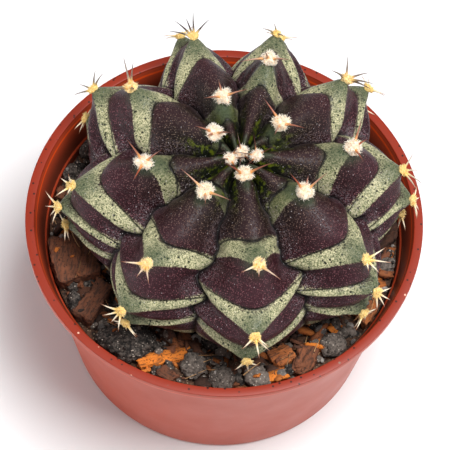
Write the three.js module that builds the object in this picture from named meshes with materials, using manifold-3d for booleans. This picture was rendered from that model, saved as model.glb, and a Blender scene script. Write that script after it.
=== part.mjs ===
// Chin cactus in a low plastic nursery pot, with its bark and lava potting mix.
// Millimetres, +Z up. The origin is on the pot's axis, on the surface that the pot stands on.

import * as THREE from "three";
import { mergeVertices } from "three/addons/utils/BufferGeometryUtils.js";
import Module from "manifold-3d";

const wasm = await Module();
wasm.setup();

// ---------------------------------------------------------------- driving dimensions

const RIM_RADIUS = 42.5;
const POT_HEIGHT = 45.7;
const BASE_RADIUS = 34.0;
const RIM_WIDTH = 1.9;
const LIP_DEPTH = 1.6;
const STEP_DEPTH = 1.0;
const STEP_WIDTH = 0.55;
const FLANGE_WIDTH = 2.5;
const UPPER_WALL = 0.7;
const LOWER_WALL = 1.1;
const LEDGE_DEPTH = 7.2;
const FOOT_WIDTH = 3.6;
const FOOT_HEIGHT = 1.0;
const FLOOR_THICKNESS = 1.2;
const POT_SIDES = 60;
const DRAIN_HOLES = 6;
const DRAIN_RADIUS = 2.8;
const DRAIN_CIRCLE = 19.0;

const CLEARANCE = 0.3;
const SOIL_LEVEL = 36.6;
const SOIL_SWELL = 0.7;
const SOIL_RINGS = [36, 32, 26, 18, 9, 0];

const PLANT_CENTRE = new THREE.Vector3(2.5, 1.5, 48);
const COLUMNS_PER_RIB = 8;
const ROWS_PER_GENERATION = 4;
const ROWS_BELOW = 4;
const ROW_COUNT = 6 * ROWS_PER_GENERATION + ROWS_BELOW;
const SETTLE_PASSES = 12;

// Distance from the plant's centre to its rib crests and to its furrows, every 15 degrees
// from straight up to straight down.
const CREST_REACH = [17.5, 21.2, 24.1, 28.8, 34.1, 37.8, 35.4, 30.4, 26.5, 25.0, 24.3, 24.6, 25.0];
const FURROW_REACH = [17.0, 17.2, 18.9, 21.0, 24.3, 29.2, 31.0, 28.6, 26.0, 25.0, 24.3, 24.6, 25.0];

// Each rib, counter-clockwise from the front: its heading, the polar angles of its areoles from
// the crown down, how far each areole leans off the rib's heading, and how wide each chin grows.
// bias turns the furrow on its far side, spread narrows the rib at its widest, and tuft says
// whether its youngest areole shows in the crown. All angles are degrees.
const RIBS = [
  {
    heading: -82.2, bias: 0, spread: 1.0, tuft: false,
    areoles: [4, 15.1, 51.8, 72.6, 89, 103],
    lean: [0, 6, 3, 0, -2, 0],
    girth: [0.8, 0.85, 1.1, 1, 1],
  },
  {
    heading: -38.3, bias: 0.5, spread: 0.985, tuft: false,
    areoles: [7, 36.2, 64.7, 76.5, 88, 102],
    lean: [0, 4, 1, -1, -4, 0],
    girth: [0.75, 1.2, 1, 1, 1],
  },
  {
    heading: 3.6, bias: 3, spread: 0.95, tuft: true,
    areoles: [10, 47.6, 67.2, 80, 91, 103],
    lean: [-5, 3, 0, -4, -3, 0],
    girth: [0.8, 1.05, 1, 1, 1],
  },
  {
    heading: 44.3, bias: 0, spread: 0.95, tuft: false,
    areoles: [5, 25, 59.9, 73, 87, 102],
    lean: [0, -4, 1, -2, 0, 0],
    girth: [0.75, 1.15, 1, 1, 1],
  },
  {
    heading: 79.3, bias: 0, spread: 1.0, tuft: true,
    areoles: [5, 48.8, 66, 78, 90, 103],
    lean: [0, -1, 0, 0, 0, 0],
    girth: [0.7, 1.1, 1, 1, 1],
  },
  {
    heading: 112.1, bias: -3, spread: 1.0, tuft: false,
    areoles: [5, 30.7, 64, 75, 87, 102],
    lean: [0, -3, -2, 0, 0, 0],
    girth: [0.75, 1.15, 1, 1, 1],
  },
  {
    heading: 149.3, bias: 0, spread: 1.0, tuft: false,
    areoles: [4, 17, 55.2, 72, 86, 101],
    lean: [0, -4, -2, 0, 3, 0],
    girth: [0.8, 1.15, 1.05, 1, 1],
  },
  {
    heading: 191.4, bias: 1, spread: 0.98, tuft: true,
    areoles: [6.5, 42.4, 67.7, 79, 89, 102],
    lean: [6, 1, -1, 0, 1, 0],
    girth: [0.75, 1.1, 1, 1, 1],
  },
  {
    heading: 235.5, bias: 0, spread: 0.99, tuft: false,
    areoles: [5, 29.3, 60, 78.4, 89, 103],
    lean: [0, 2, 0, -1, -1, 0],
    girth: [0.75, 1.1, 1, 1, 1],
  },
];

// A chin takes at least this share of the way from one areole to the next, then it ends in a
// crease, and the band past the crease takes at most BAND_SPAN degrees.
const CREASE = 0.75;
const BAND_SPAN = 5.8;
const CREASE_SINK = 2.6;
const CHIN_SINK = 0.7;
const LIP_DROP = 0.7;

// A rib's section is a power curve, nearly a roof at an areole, and pinched in at the furrow.
const CHIN_SECTION = 1.42;
const AREOLE_SECTION = 1.14;
const FURROW_PINCH = 0.84;

// Each areole sits on a beak, and the rib is narrowest just past it.
const BEAK_HEIGHT = 1.5;
const BEAK_LENGTH = 2.7;
const WAIST = 0.16;
const WAIST_PHASE = 0.17;

// How many degrees a band climbs from crest to furrow, in the crown and at the widest, and how
// much its middle is rounded.
const BAND_SWEEP_INNER = -8.5;
const BAND_SWEEP_OUTER = 8.0;
const LIP_ROUND = 10;

const CRADLE_POLAR = 97; // polar angle past which the plant is under the potting mix
const VISIBLE_POLAR = 96;

// ---------------------------------------------------------------- small helpers

const DEGREE = Math.PI / 180;

function clamp01(value) {
  return Math.min(1, Math.max(0, value));
}

function smooth(low, high, value) {
  const t = clamp01((value - low) / (high - low));
  return t * t * (3 - 2 * t);
}

function blend(a, b, t) {
  return a + (b - a) * t;
}

// A repeatable number from 0 to 1 for a seed.
function draw(seed) {
  const wave = Math.sin(seed * 12.9898 + 4.1414) * 43758.5453;
  return wave - Math.floor(wave);
}

function wrap(index, count) {
  return ((index % count) + count) % count;
}

function closedSolid(geometry) {
  const bare = geometry.index ? geometry.clone() : geometry;
  bare.deleteAttribute("normal");
  bare.deleteAttribute("uv");
  const merged = mergeVertices(bare, 1e-4);
  return new wasm.Manifold(new wasm.Mesh({
    numProp: 3,
    vertProperties: new Float32Array(merged.attributes.position.array),
    triVerts: new Uint32Array(merged.index.array),
  }));
}

function solidGeometry(solid) {
  const mesh = solid.getMesh();
  const geometry = new THREE.BufferGeometry();
  geometry.setAttribute("position", new THREE.BufferAttribute(new Float32Array(mesh.vertProperties), 3));
  geometry.setIndex(new THREE.BufferAttribute(new Uint32Array(mesh.triVerts), 1));
  return geometry;
}

function lathe(profile, sides) {
  const geometry = new THREE.LatheGeometry(profile.map(([r, z]) => new THREE.Vector2(r, z)), sides);
  geometry.rotateX(Math.PI / 2);
  return geometry;
}

function finish(color, roughness) {
  return new THREE.MeshStandardMaterial({ color, roughness, metalness: 0 });
}

function part(name, geometry, material) {
  const mesh = new THREE.Mesh(geometry, material);
  mesh.name = name;
  return mesh;
}

// ---------------------------------------------------------------- pot

const WALL_TOP_RADIUS = RIM_RADIUS - FLANGE_WIDTH;
const WALL_TOP = POT_HEIGHT - LIP_DEPTH - STEP_DEPTH;
const LEDGE_LEVEL = POT_HEIGHT - LEDGE_DEPTH;

function outerWallRadius(z) {
  return blend(BASE_RADIUS, WALL_TOP_RADIUS, z / WALL_TOP);
}

function innerWallRadius(z) {
  if (z > LEDGE_LEVEL) {
    return blend(outerWallRadius(LEDGE_LEVEL) - UPPER_WALL, RIM_RADIUS - RIM_WIDTH,
      (z - LEDGE_LEVEL) / LEDGE_DEPTH);
  }
  return outerWallRadius(z) - LOWER_WALL;
}

function buildPot() {
  const floorTop = FOOT_HEIGHT + FLOOR_THICKNESS;
  const profile = [
    [0, FOOT_HEIGHT],
    [BASE_RADIUS - FOOT_WIDTH - 0.8, FOOT_HEIGHT],
    [BASE_RADIUS - FOOT_WIDTH, 0],
    [BASE_RADIUS - 0.6, 0],
    [outerWallRadius(1.0), 1.0],
    [WALL_TOP_RADIUS, WALL_TOP],
    [RIM_RADIUS - STEP_WIDTH, WALL_TOP + 0.1],
    [RIM_RADIUS - STEP_WIDTH, WALL_TOP + STEP_DEPTH],
    [RIM_RADIUS, WALL_TOP + STEP_DEPTH + 0.1],
    [RIM_RADIUS, POT_HEIGHT - 0.3],
    [RIM_RADIUS - 0.3, POT_HEIGHT],
    [RIM_RADIUS - RIM_WIDTH + 0.25, POT_HEIGHT],
    [RIM_RADIUS - RIM_WIDTH, POT_HEIGHT - 0.25],
    [innerWallRadius(LEDGE_LEVEL + 0.01), LEDGE_LEVEL],
    [innerWallRadius(LEDGE_LEVEL - 0.4), LEDGE_LEVEL - 0.4],
    [innerWallRadius(floorTop + 1.5), floorTop + 1.5],
    [innerWallRadius(floorTop) - 1.5, floorTop],
    [0, floorTop],
  ];
  let pot = closedSolid(lathe(profile, POT_SIDES));
  for (let hole = 0; hole < DRAIN_HOLES; hole += 1) {
    const cutter = new THREE.CylinderGeometry(DRAIN_RADIUS, DRAIN_RADIUS, 4 * FLOOR_THICKNESS, 14);
    const turn = (hole / DRAIN_HOLES) * 2 * Math.PI;
    cutter.rotateX(Math.PI / 2);
    cutter.translate(DRAIN_CIRCLE * Math.cos(turn), DRAIN_CIRCLE * Math.sin(turn), FOOT_HEIGHT);
    pot = pot.subtract(closedSolid(cutter));
  }
  return part("pot", solidGeometry(pot), finish(0xb9543f, 0.45));
}

// ---------------------------------------------------------------- plant body

function reachCurve(reaches) {
  const points = reaches.map((reach, index) => new THREE.Vector2(index * 15, reach));
  const spline = new THREE.SplineCurve(points);
  return (polar) => spline.getPoint(clamp01(polar / 180)).y;
}

const crestReach = reachCurve(CREST_REACH);
const furrowReach = reachCurve(FURROW_REACH);

// Which stretch between two areoles a polar angle lies in, and how far along it.
function stretchAt(rib, polar) {
  const marks = [0, ...rib.areoles, 180];
  let index = 0;
  while (index < marks.length - 2 && polar >= marks[index + 1]) {
    index += 1;
  }
  const span = marks[index + 1] - marks[index];
  return { index, start: marks[index], phase: clamp01((polar - marks[index]) / span), span };
}

function sweepAt(polar, offset) {
  const ease = smooth(0, 26, polar) * (1 - smooth(110, 160, polar));
  const climb = blend(BAND_SWEEP_INNER, BAND_SWEEP_OUTER, smooth(46, 94, polar));
  return ease * offset ** 2 * (climb * offset ** 0.4 + LIP_ROUND * (1 - offset));
}

function creasePhase(span) {
  return Math.max(CREASE, 1 - BAND_SPAN / span);
}

function leanAt(rib, polar) {
  const { index, phase } = stretchAt(rib, polar);
  const values = [rib.lean[0], ...rib.lean, 0];
  return blend(values[index], values[index + 1], phase);
}

function girthAt(rib, polar) {
  const { index, phase, span } = stretchAt(rib, polar);
  const values = [rib.girth[0], ...rib.girth, 1, 1];
  const ripple = WAIST * Math.cos(2 * Math.PI * (phase - WAIST_PHASE));
  return blend(values[index], values[index + 1], smooth(creasePhase(span), 1, phase)) - ripple;
}

// Half of the angle between this rib's heading and the furrow on the given side.
function halfWidth(ribIndex, side, polar) {
  const low = side > 0 ? ribIndex : wrap(ribIndex - 1, RIBS.length);
  const high = wrap(low + 1, RIBS.length);
  const apart = wrap(RIBS[high].heading - RIBS[low].heading, 360);
  const level = polar + sweepAt(polar, 1);
  const lowGirth = girthAt(RIBS[low], level);
  const share = lowGirth / (lowGirth + girthAt(RIBS[high], level));
  const turn = apart * share + RIBS[low].bias;
  return side > 0 ? turn : apart - turn;
}

// How far a rib stands below its plain curve: a chin, its creased end, then the slope up to the
// next areole.
function ribRelief(phase, crease) {
  if (phase < crease) {
    const t = phase / crease;
    return -CHIN_SINK * smooth(0, 0.25, t) - (CREASE_SINK - LIP_DROP - CHIN_SINK) * t ** 4;
  }
  const t = (phase - crease) / (1 - crease);
  return -CREASE_SINK * (1 - t) ** 1.4;
}

function bodyPoint(ribIndex, across, polar, swell) {
  const rib = RIBS[ribIndex];
  const side = across < 0 ? -1 : 1;
  const offset = Math.abs(across);
  const growth = stretchAt(rib, polar + sweepAt(polar, offset));
  const visible = 1 - smooth(VISIBLE_POLAR, CRADLE_POLAR + 8, polar);
  const atAreole = 1 - smooth(0, 0.34, Math.min(growth.phase, 1 - growth.phase));
  const power = blend(CHIN_SECTION, AREOLE_SECTION, atAreole * visible);
  const height = (1 - offset ** power) ** FURROW_PINCH;
  const crest = crestReach(polar) * blend(1, rib.spread, smooth(50, 78, polar));
  const furrow = furrowReach(polar);
  const mark = Math.min(growth.phase, 1 - growth.phase) * growth.span * DEGREE * crest;
  const acrossLength = offset * halfWidth(ribIndex, side, polar) * DEGREE * crest;
  const beak = BEAK_HEIGHT * Math.exp(-((mark ** 2 + acrossLength ** 2) / BEAK_LENGTH ** 2));
  const crown = smooth(8, 20, polar);
  const crease = creasePhase(growth.span);
  const relief = (ribRelief(growth.phase, crease) * (1 - offset ** 3) + beak) * visible * crown;
  const reach = furrow + (crest - furrow) * height + relief + swell;
  const heading = rib.heading + leanAt(rib, polar) * (1 - offset) * crown
    + across * halfWidth(ribIndex, side, polar);
  const radius = reach * Math.sin(polar * DEGREE);
  return new THREE.Vector3(
    PLANT_CENTRE.x + radius * Math.cos(heading * DEGREE),
    PLANT_CENTRE.y + radius * Math.sin(heading * DEGREE),
    PLANT_CENTRE.z + reach * Math.cos(polar * DEGREE),
  );
}

// Rows follow each rib's own areoles and creases, so that a few rows keep the chins sharp.
function rowPhase(step, span) {
  const crease = creasePhase(span);
  return [0, 0.35 * crease, 0.8 * crease, crease + 0.02][step];
}

function ribRowPolar(rib, row) {
  const marks = [0, ...rib.areoles];
  const last = marks.length - 1;
  const stretch = Math.floor(row / ROWS_PER_GENERATION);
  if (stretch >= last) {
    const rest = (row - last * ROWS_PER_GENERATION) / ROWS_BELOW;
    return blend(marks[last], 180, rest);
  }
  const span = marks[stretch + 1] - marks[stretch];
  return marks[stretch] + span * rowPhase(row % ROWS_PER_GENERATION, span);
}

function rowPolar(ribIndex, across, row) {
  const own = ribRowPolar(RIBS[ribIndex], row);
  const neighbour = RIBS[wrap(ribIndex + (across < 0 ? -1 : 1), RIBS.length)];
  const shared = (own + ribRowPolar(neighbour, row)) / 2;
  const settled = blend(own, shared, smooth(0.3, 1, Math.abs(across)));
  let polar = settled;
  for (let pass = 0; pass < SETTLE_PASSES; pass += 1) {
    polar = settled - sweepAt(polar, Math.abs(across));
  }
  return polar;
}

// Columns are packed closer at the crest and at the furrows.
function acrossAt(step) {
  const t = (step / COLUMNS_PER_RIB) * 2 - 1;
  return Math.sign(t) * blend(Math.abs(t), 1 - (1 - Math.abs(t)) ** 1.4, 0.5);
}

function bodyGeometry(swell) {
  const columns = RIBS.length * COLUMNS_PER_RIB;
  const geometry = new THREE.SphereGeometry(1, columns, ROW_COUNT);
  const position = geometry.attributes.position;
  for (let row = 0; row <= ROW_COUNT; row += 1) {
    for (let column = 0; column <= columns; column += 1) {
      const spot = wrap(column, columns);
      const ribIndex = Math.floor(spot / COLUMNS_PER_RIB);
      const across = acrossAt(spot % COLUMNS_PER_RIB);
      const atPole = row === 0 || row === ROW_COUNT;
      const polar = row === 0 ? 0 : rowPolar(ribIndex, across, row);
      const point = atPole
        ? bodyPoint(0, 0, row === 0 ? 0 : 180, swell)
        : bodyPoint(ribIndex, across, polar, swell);
      position.setXYZ(row * (columns + 1) + column, point.x, point.y, point.z);
    }
  }
  return geometry;
}

// ---------------------------------------------------------------- areoles and spines

const PAD_SIDES = 5;
const PAD_RINGS = 3;
const SPINE_SIDES = 3;
const SPINE_ROOT = 0.9;

// Spine sets by age: length, thickness at the root and, for each spine, its turn round the
// areole from the downhill direction, how far it lifts off the surface and its share of the length.
const YOUNG = {
  pad: 1.9, padHeight: 1.3, length: 6.2, root: 0.42,
  spines: [[-128, 38, 1], [122, 34, 0.95], [8, 30, 0.6]],
};
const GROWN = {
  pad: 1.55, padHeight: 0.95, length: 4.8, root: 0.34,
  spines: [[-82, 22, 1], [80, 20, 1], [-8, 26, 0.8], [176, 62, 0.55]],
};
const OLD = {
  pad: 1.3, padHeight: 0.8, length: 3.8, root: 0.3,
  spines: [[-78, 24, 0.9], [-36, 30, 1], [4, 34, 1], [42, 28, 0.95], [84, 22, 0.85]],
};

function agedSet(polar) {
  if (polar < 49) {
    return YOUNG;
  }
  return polar < 62 ? GROWN : OLD;
}

// The areole's place, its outward direction, the downhill direction and the sideways one.
function areoleFrame(ribIndex, polar) {
  const place = bodyPoint(ribIndex, 0, polar, 0);
  const above = bodyPoint(ribIndex, 0, Math.max(0.5, polar - 9), 0);
  const below = bodyPoint(ribIndex, 0, polar + 9, 0);
  const downhill = below.sub(above).normalize();
  const heading = (RIBS[ribIndex].heading + leanAt(RIBS[ribIndex], polar)) * DEGREE;
  const sideways = new THREE.Vector3(-Math.sin(heading), Math.cos(heading), 0);
  const outward = new THREE.Vector3().crossVectors(downhill, sideways).normalize();
  return { place, outward, downhill, sideways };
}

function padGeometry(frame, set) {
  const geometry = new THREE.SphereGeometry(1, PAD_SIDES, PAD_RINGS);
  geometry.rotateX(Math.PI / 2);
  const basis = new THREE.Matrix4().makeBasis(frame.downhill, frame.sideways, frame.outward);
  geometry.scale(set.pad, set.pad, set.padHeight);
  geometry.applyMatrix4(basis);
  const seat = frame.place.clone().addScaledVector(frame.outward, 0.15 * set.padHeight);
  geometry.translate(seat.x, seat.y, seat.z);
  return geometry;
}

function spineGeometry(frame, set, spine, seed) {
  const [turn, lift, share] = spine;
  const swing = (turn + 22 * (draw(seed) - 0.5)) * DEGREE;
  const rise = (lift + 14 * (draw(seed + 0.37) - 0.5)) * DEGREE;
  const length = set.length * share * blend(0.85, 1.1, draw(seed + 0.71));
  const flat = frame.downhill.clone().multiplyScalar(Math.cos(swing))
    .addScaledVector(frame.sideways, Math.sin(swing));
  const aim = flat.clone().multiplyScalar(Math.cos(rise))
    .addScaledVector(frame.outward, Math.sin(rise)).normalize();
  const whole = length + SPINE_ROOT;
  const geometry = new THREE.ConeGeometry(set.root, whole, SPINE_SIDES, set === YOUNG ? 2 : 1);
  geometry.rotateX(Math.PI / 2);
  geometry.translate(0, 0, whole / 2 - SPINE_ROOT);
  const position = geometry.attributes.position;
  for (let i = 0; i < position.count; i += 1) {
    const t = clamp01(position.getZ(i) / length);
    position.setX(i, position.getX(i) + 0.12 * length * t * (1 - t) * 4);
  }
  const bend = frame.outward.clone().addScaledVector(aim, -frame.outward.dot(aim)).normalize();
  const third = new THREE.Vector3().crossVectors(aim, bend);
  geometry.applyMatrix4(new THREE.Matrix4().makeBasis(bend, third, aim));
  const start = frame.place.clone().addScaledVector(frame.outward, 0.35 * set.padHeight)
    .addScaledVector(flat, 0.45 * set.pad);
  geometry.translate(start.x, start.y, start.z);
  return geometry;
}

function buildCactus() {
  const solids = [closedSolid(bodyGeometry(0))];
  RIBS.forEach((rib, ribIndex) => {
    rib.areoles.forEach((polar, order) => {
      if (polar > VISIBLE_POLAR || (order === 0 && !rib.tuft)) {
        return;
      }
      const set = agedSet(polar);
      const frame = areoleFrame(ribIndex, polar);
      solids.push(closedSolid(padGeometry(frame, set)));
      set.spines.forEach((spine, number) => {
        const seed = ribIndex * 97 + order * 13 + number * 3 + 1;
        solids.push(closedSolid(spineGeometry(frame, set, spine, seed)));
      });
    });
  });
  const fused = wasm.Manifold.union(solids);
  return part("cactus", solidGeometry(fused), finish(0x4a3038, 0.5));
}

// ---------------------------------------------------------------- potting mix

// The mix slopes a little and swells towards the plant.
function soilHeight(x, y) {
  const ripple = Math.sin(x * 0.31 + 1.2) * Math.cos(y * 0.27 - 0.5)
    + 0.5 * Math.sin(x * 0.63 - y * 0.55);
  return SOIL_LEVEL + SOIL_SWELL * ripple;
}

function soilGeometry() {
  const bottom = FOOT_HEIGHT + FLOOR_THICKNESS + CLEARANCE;
  const shoulder = bottom + 2;
  const profile = [
    [0, bottom],
    [innerWallRadius(shoulder) - CLEARANCE - 1.6, bottom],
    [innerWallRadius(shoulder) - CLEARANCE, shoulder],
    [innerWallRadius(SOIL_LEVEL) - CLEARANCE, SOIL_LEVEL],
  ];
  SOIL_RINGS.forEach((radius) => profile.push([radius, SOIL_LEVEL + 0.001]));
  const geometry = lathe(profile, POT_SIDES);
  const position = geometry.attributes.position;
  for (let i = 0; i < position.count; i += 1) {
    if (position.getZ(i) > SOIL_LEVEL) {
      position.setZ(i, soilHeight(position.getX(i), position.getY(i)));
    }
  }
  return geometry;
}

// The room inside the wall that loose pieces may fill.
function insideWallGeometry() {
  const low = SOIL_LEVEL - 8;
  const high = LEDGE_LEVEL - 0.5;
  const top = POT_HEIGHT;
  const lowRadius = innerWallRadius(low) - CLEARANCE;
  const highRadius = innerWallRadius(high) - CLEARANCE;
  return lathe([[0, low], [lowRadius, low], [highRadius, high], [highRadius, top], [0, top]], POT_SIDES);
}

// Loose pieces of the mix that show between the plant and the wall. kind, place on the pot's
// plan (x, y), length, width and height, and the turn of the length about +Z.
const LAVA = "lava_lump";
const BARK = "bark_chip";
const PEBBLE = "pebble";
const PIECES = [
  [BARK, -32.0, -9.4, 11.0, 11.6, 6.0, 18],
  [LAVA, -31.0, -18.4, 3.4, 5.2, 4.0, 10],
  [BARK, -26.6, -18.6, 10.6, 4.8, 5.0, 62],
  [LAVA, -19.6, -28.0, 12.8, 9.0, 6.6, 12],
  [BARK, -10.7, -30.8, 11.6, 3.2, 2.6, 15],
  [BARK, -15.9, -33.6, 4.2, 2.0, 1.8, 10],
  [BARK, -7.4, -26.2, 9.0, 3.6, 2.4, -18],
  [LAVA, -4.6, -32.2, 6.4, 6.0, 4.8, 30],
  [BARK, -10.0, -34.8, 4.2, 3.0, 2.6, -40],
  [LAVA, 1.6, -34.6, 5.8, 6.4, 4.8, 0],
  [LAVA, 8.9, -34.2, 5.8, 5.6, 4.6, 20],
  [BARK, 13.6, -28.8, 4.8, 4.6, 3.6, 40],
  [PEBBLE, 14.0, -33.0, 2.8, 2.6, 2.3, 0],
  [BARK, 18.6, -29.6, 7.4, 4.4, 4.2, 72],
  [LAVA, 24.4, -25.4, 6.8, 6.0, 5.0, 0],
  [PEBBLE, 29.0, -24.0, 2.2, 2.1, 1.8, 0],
  [PEBBLE, 28.0, -20.2, 2.1, 2.3, 1.8, 0],
  [BARK, 32.0, -17.2, 5.8, 5.6, 4.4, 35],
  [PEBBLE, 35.2, -11.2, 2.1, 2.0, 1.8, 0],
  [LAVA, 35.6, -5.8, 5.0, 4.4, 3.6, 50],
  [BARK, 35.8, 1.6, 9.6, 3.4, 3.2, 42],
  [BARK, 36.4, 8.6, 4.4, 2.2, 2.0, 80],
  [LAVA, -31.2, 19.6, 4.8, 5.6, 4.2, 0],
  [LAVA, -34.0, 13.0, 5.2, 4.8, 4.0, 0],
  [BARK, -36.2, 7.8, 3.2, 3.0, 2.6, 70],
  [LAVA, -24.4, 28.2, 5.0, 4.2, 3.8, 40],
  [BARK, -5.2, 36.2, 6.4, 3.2, 3.0, 5],
  [LAVA, 14.6, 33.6, 4.8, 4.4, 3.8, 0],
  [BARK, 32.4, 20.4, 5.4, 3.4, 3.2, -50],
];

function pieceGeometry(piece, order, swell) {
  const [kind, x, y, length, width, height, turn] = piece;
  const big = length > 9 && kind === LAVA;
  const geometry = kind === BARK
    ? new THREE.BoxGeometry(1, 1, 1, 2, 2, 1)
    : new THREE.IcosahedronGeometry(0.56, big ? 1 : 0);
  const position = geometry.attributes.position;
  for (let i = 0; i < position.count; i += 1) {
    const key = Math.round(position.getX(i) * 50) + 7 * Math.round(position.getY(i) * 50)
      + 13 * Math.round(position.getZ(i) * 50);
    const grow = blend(0.88, 1.08, draw(order * 3.1 + key * 0.017));
    position.setXYZ(i, position.getX(i) * grow, position.getY(i) * grow, position.getZ(i) * grow);
  }
  geometry.scale(length + 2 * swell, width + 2 * swell, height + 2 * swell);
  geometry.rotateZ(turn * DEGREE);
  geometry.translate(x, y, soilHeight(x, y) + 0.22 * height);
  return geometry;
}

function buildMix() {
  const cradle = closedSolid(bodyGeometry(CLEARANCE));
  const clearPlant = closedSolid(bodyGeometry(2 * CLEARANCE));
  const clearWall = closedSolid(insideWallGeometry());
  let soil = closedSolid(soilGeometry()).subtract(cradle);
  const placed = [];
  const counts = {};
  PIECES.forEach((piece, order) => {
    let solid = closedSolid(pieceGeometry(piece, order, 0)).intersect(clearWall).subtract(clearPlant);
    placed.forEach((earlier) => {
      solid = solid.subtract(earlier);
    });
    const roomy = closedSolid(pieceGeometry(piece, order, CLEARANCE));
    soil = soil.subtract(roomy);
    placed.push(roomy);
    counts[piece[0]] = (counts[piece[0]] ?? 0) + 1;
    const name = `${piece[0]}_${String(counts[piece[0]]).padStart(2, "0")}`;
    const colour = { [LAVA]: 0x3a3634, [BARK]: 0x7a4a2e, [PEBBLE]: 0x8a8480 }[piece[0]];
    pieceMeshes.push(part(name, solidGeometry(largest(solid)), finish(colour, 0.9)));
  });
  return part("soil", solidGeometry(largest(soil)), finish(0x2c211b, 0.95));
}

// Cutting may leave a crumb behind: only the largest body of a solid is kept.
function largest(solid) {
  const bodies = solid.decompose();
  return bodies.reduce((best, body) => (body.volume() > best.volume() ? body : best));
}

const pieceMeshes = [];
const group = new THREE.Group();
group.add(buildPot());
group.add(buildMix());
group.add(buildCactus());
pieceMeshes.forEach((mesh) => group.add(mesh));

export default group;
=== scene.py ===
"""The looks of a potted chin cactus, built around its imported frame.

The classes hold sizes in millimetres and turn them to metres where a mesh is made. +Z is up and
the origin is on the pot's axis, on the surface that the pot stands on.
"""

import logging
import math
import random
from dataclasses import dataclass, field
from enum import Enum
from typing import Callable, Iterator, Optional, Sequence

import bmesh
import bpy
from bmesh.types import BMesh
from bpy.types import ID, Material, Mesh, NodeSocket, Object
from mathutils import Matrix, Vector, noise
from mathutils.bvhtree import BVHTree


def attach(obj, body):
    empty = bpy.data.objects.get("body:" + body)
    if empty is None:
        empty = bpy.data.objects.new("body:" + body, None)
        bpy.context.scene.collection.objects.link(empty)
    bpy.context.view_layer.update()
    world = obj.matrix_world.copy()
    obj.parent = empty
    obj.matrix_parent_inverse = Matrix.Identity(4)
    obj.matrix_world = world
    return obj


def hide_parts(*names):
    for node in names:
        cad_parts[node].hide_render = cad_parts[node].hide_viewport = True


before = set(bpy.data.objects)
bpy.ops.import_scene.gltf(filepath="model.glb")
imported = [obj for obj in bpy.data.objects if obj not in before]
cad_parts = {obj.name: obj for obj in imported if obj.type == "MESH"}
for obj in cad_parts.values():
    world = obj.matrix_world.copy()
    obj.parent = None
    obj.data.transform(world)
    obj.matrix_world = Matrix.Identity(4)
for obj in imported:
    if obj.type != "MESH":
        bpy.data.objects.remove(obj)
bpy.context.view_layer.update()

LOG = logging.getLogger("potted_cactus")
MM = 0.001
MERGE = 0.001 * MM
UP = Vector((0.0, 0.0, 1.0))
FULL_TURN = 2.0 * math.pi

# Where a step starts and ends and, where these aren't 0 and 1, what it gives there.
Ramp = tuple[float, ...]
Input = NodeSocket | str | float | tuple[float, ...]
Tones = dict[str, Callable[[Vector], float]]


# ---------------------------------------------------------------- small helpers


def clamp01(value: float) -> float:
    """Return the value held between 0 and 1."""
    return min(1.0, max(0.0, value))


def smooth(low: float, high: float, value: float) -> float:
    """Return a soft step from 0 at low to 1 at high."""
    t = clamp01((value - low) / (high - low))
    return t * t * (3.0 - 2.0 * t)


def blend(a: float, b: float, t: float) -> float:
    """Return the mix of a and b, with share t of b."""
    return a + (b - a) * t


def draw(seed: float) -> float:
    """Return a repeatable number from 0 to 1 for a seed."""
    wave = math.sin(seed * 12.9898 + 4.1414) * 43758.5453
    return wave - math.floor(wave)


def linear(code: str) -> tuple[float, ...]:
    """Turn an sRGB hex code, such as #8090a0, into linear red, green, blue and alpha."""
    parts = [int(code[i:i + 2], 16) / 255.0 for i in (1, 3, 5)]
    return (*(c / 12.92 if c <= 0.04045 else ((c + 0.055) / 1.055) ** 2.4 for c in parts), 1.0)


def per_metre(size: float) -> float:
    """Return the pattern scale whose cells measure the given millimetres."""
    return 1.0 / (size * MM)


def at_height(datum: float, ramp: Ramp) -> Ramp:
    """Return a ramp over height in metres, from one in millimetres above a datum."""
    return ((datum + ramp[0]) * MM, (datum + ramp[1]) * MM, *ramp[2:])


def roughness(spot: Vector, layers: Sequence[tuple[float, float]]) -> float:
    """Return layered noise at a point, from each layer's height and scale."""
    return sum(height * noise.noise(spot * scale) for height, scale in layers)


def to_mesh(shape: BMesh, name: str) -> Mesh:
    """Turn a bmesh into a mesh with the given name, and free it.

    Args:
        shape: The bmesh, which is freed.
        name: The mesh's name.

    Returns:
        The mesh.
    """
    mesh = bpy.data.meshes.new(name)
    shape.to_mesh(mesh)
    shape.free()
    return mesh


def to_scene(name: str, data: ID) -> Object:
    """Put an object with the given data into the scene.

    Args:
        name: The object's name.
        data: Its mesh, light or camera.

    Returns:
        The object.
    """
    thing = bpy.data.objects.new(name, data)
    bpy.context.scene.collection.objects.link(thing)
    return thing


def applied(blank: Object) -> Mesh:
    """Return the mesh that an object's modifiers make of it, and remove the object.

    Args:
        blank: The object, which is removed.

    Returns:
        The mesh.
    """
    graph = bpy.context.evaluated_depsgraph_get()
    mesh = bpy.data.meshes.new_from_object(blank.evaluated_get(graph))
    bpy.data.objects.remove(blank)
    return mesh


def finish_piece(name: str, mesh: Mesh, material: Material, slot: str,
                 replaced: Sequence[str] = (), crease_angle: float = 180.0) -> None:
    """Turn a mesh in metres into a shown piece of the object.

    Args:
        name: The piece's name.
        mesh: Its mesh.
        material: Its finish.
        slot: The material slot that the finish belongs to; not used.
        replaced: The CAD nodes that the piece stands for.
        crease_angle: Edges sharper than this stay sharp, in degrees.
    """
    mesh.name = name
    mesh.polygons.foreach_set("use_smooth", [True] * len(mesh.polygons))
    if crease_angle < 180.0:
        mesh.set_sharp_from_angle(angle=math.radians(crease_angle))
    mesh.materials.clear()
    mesh.materials.append(material)
    piece = to_scene(name, mesh)
    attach(piece, "root")
    if replaced:
        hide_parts(*replaced)
    LOG.info("%s: %d faces", name, len(mesh.polygons))


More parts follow.
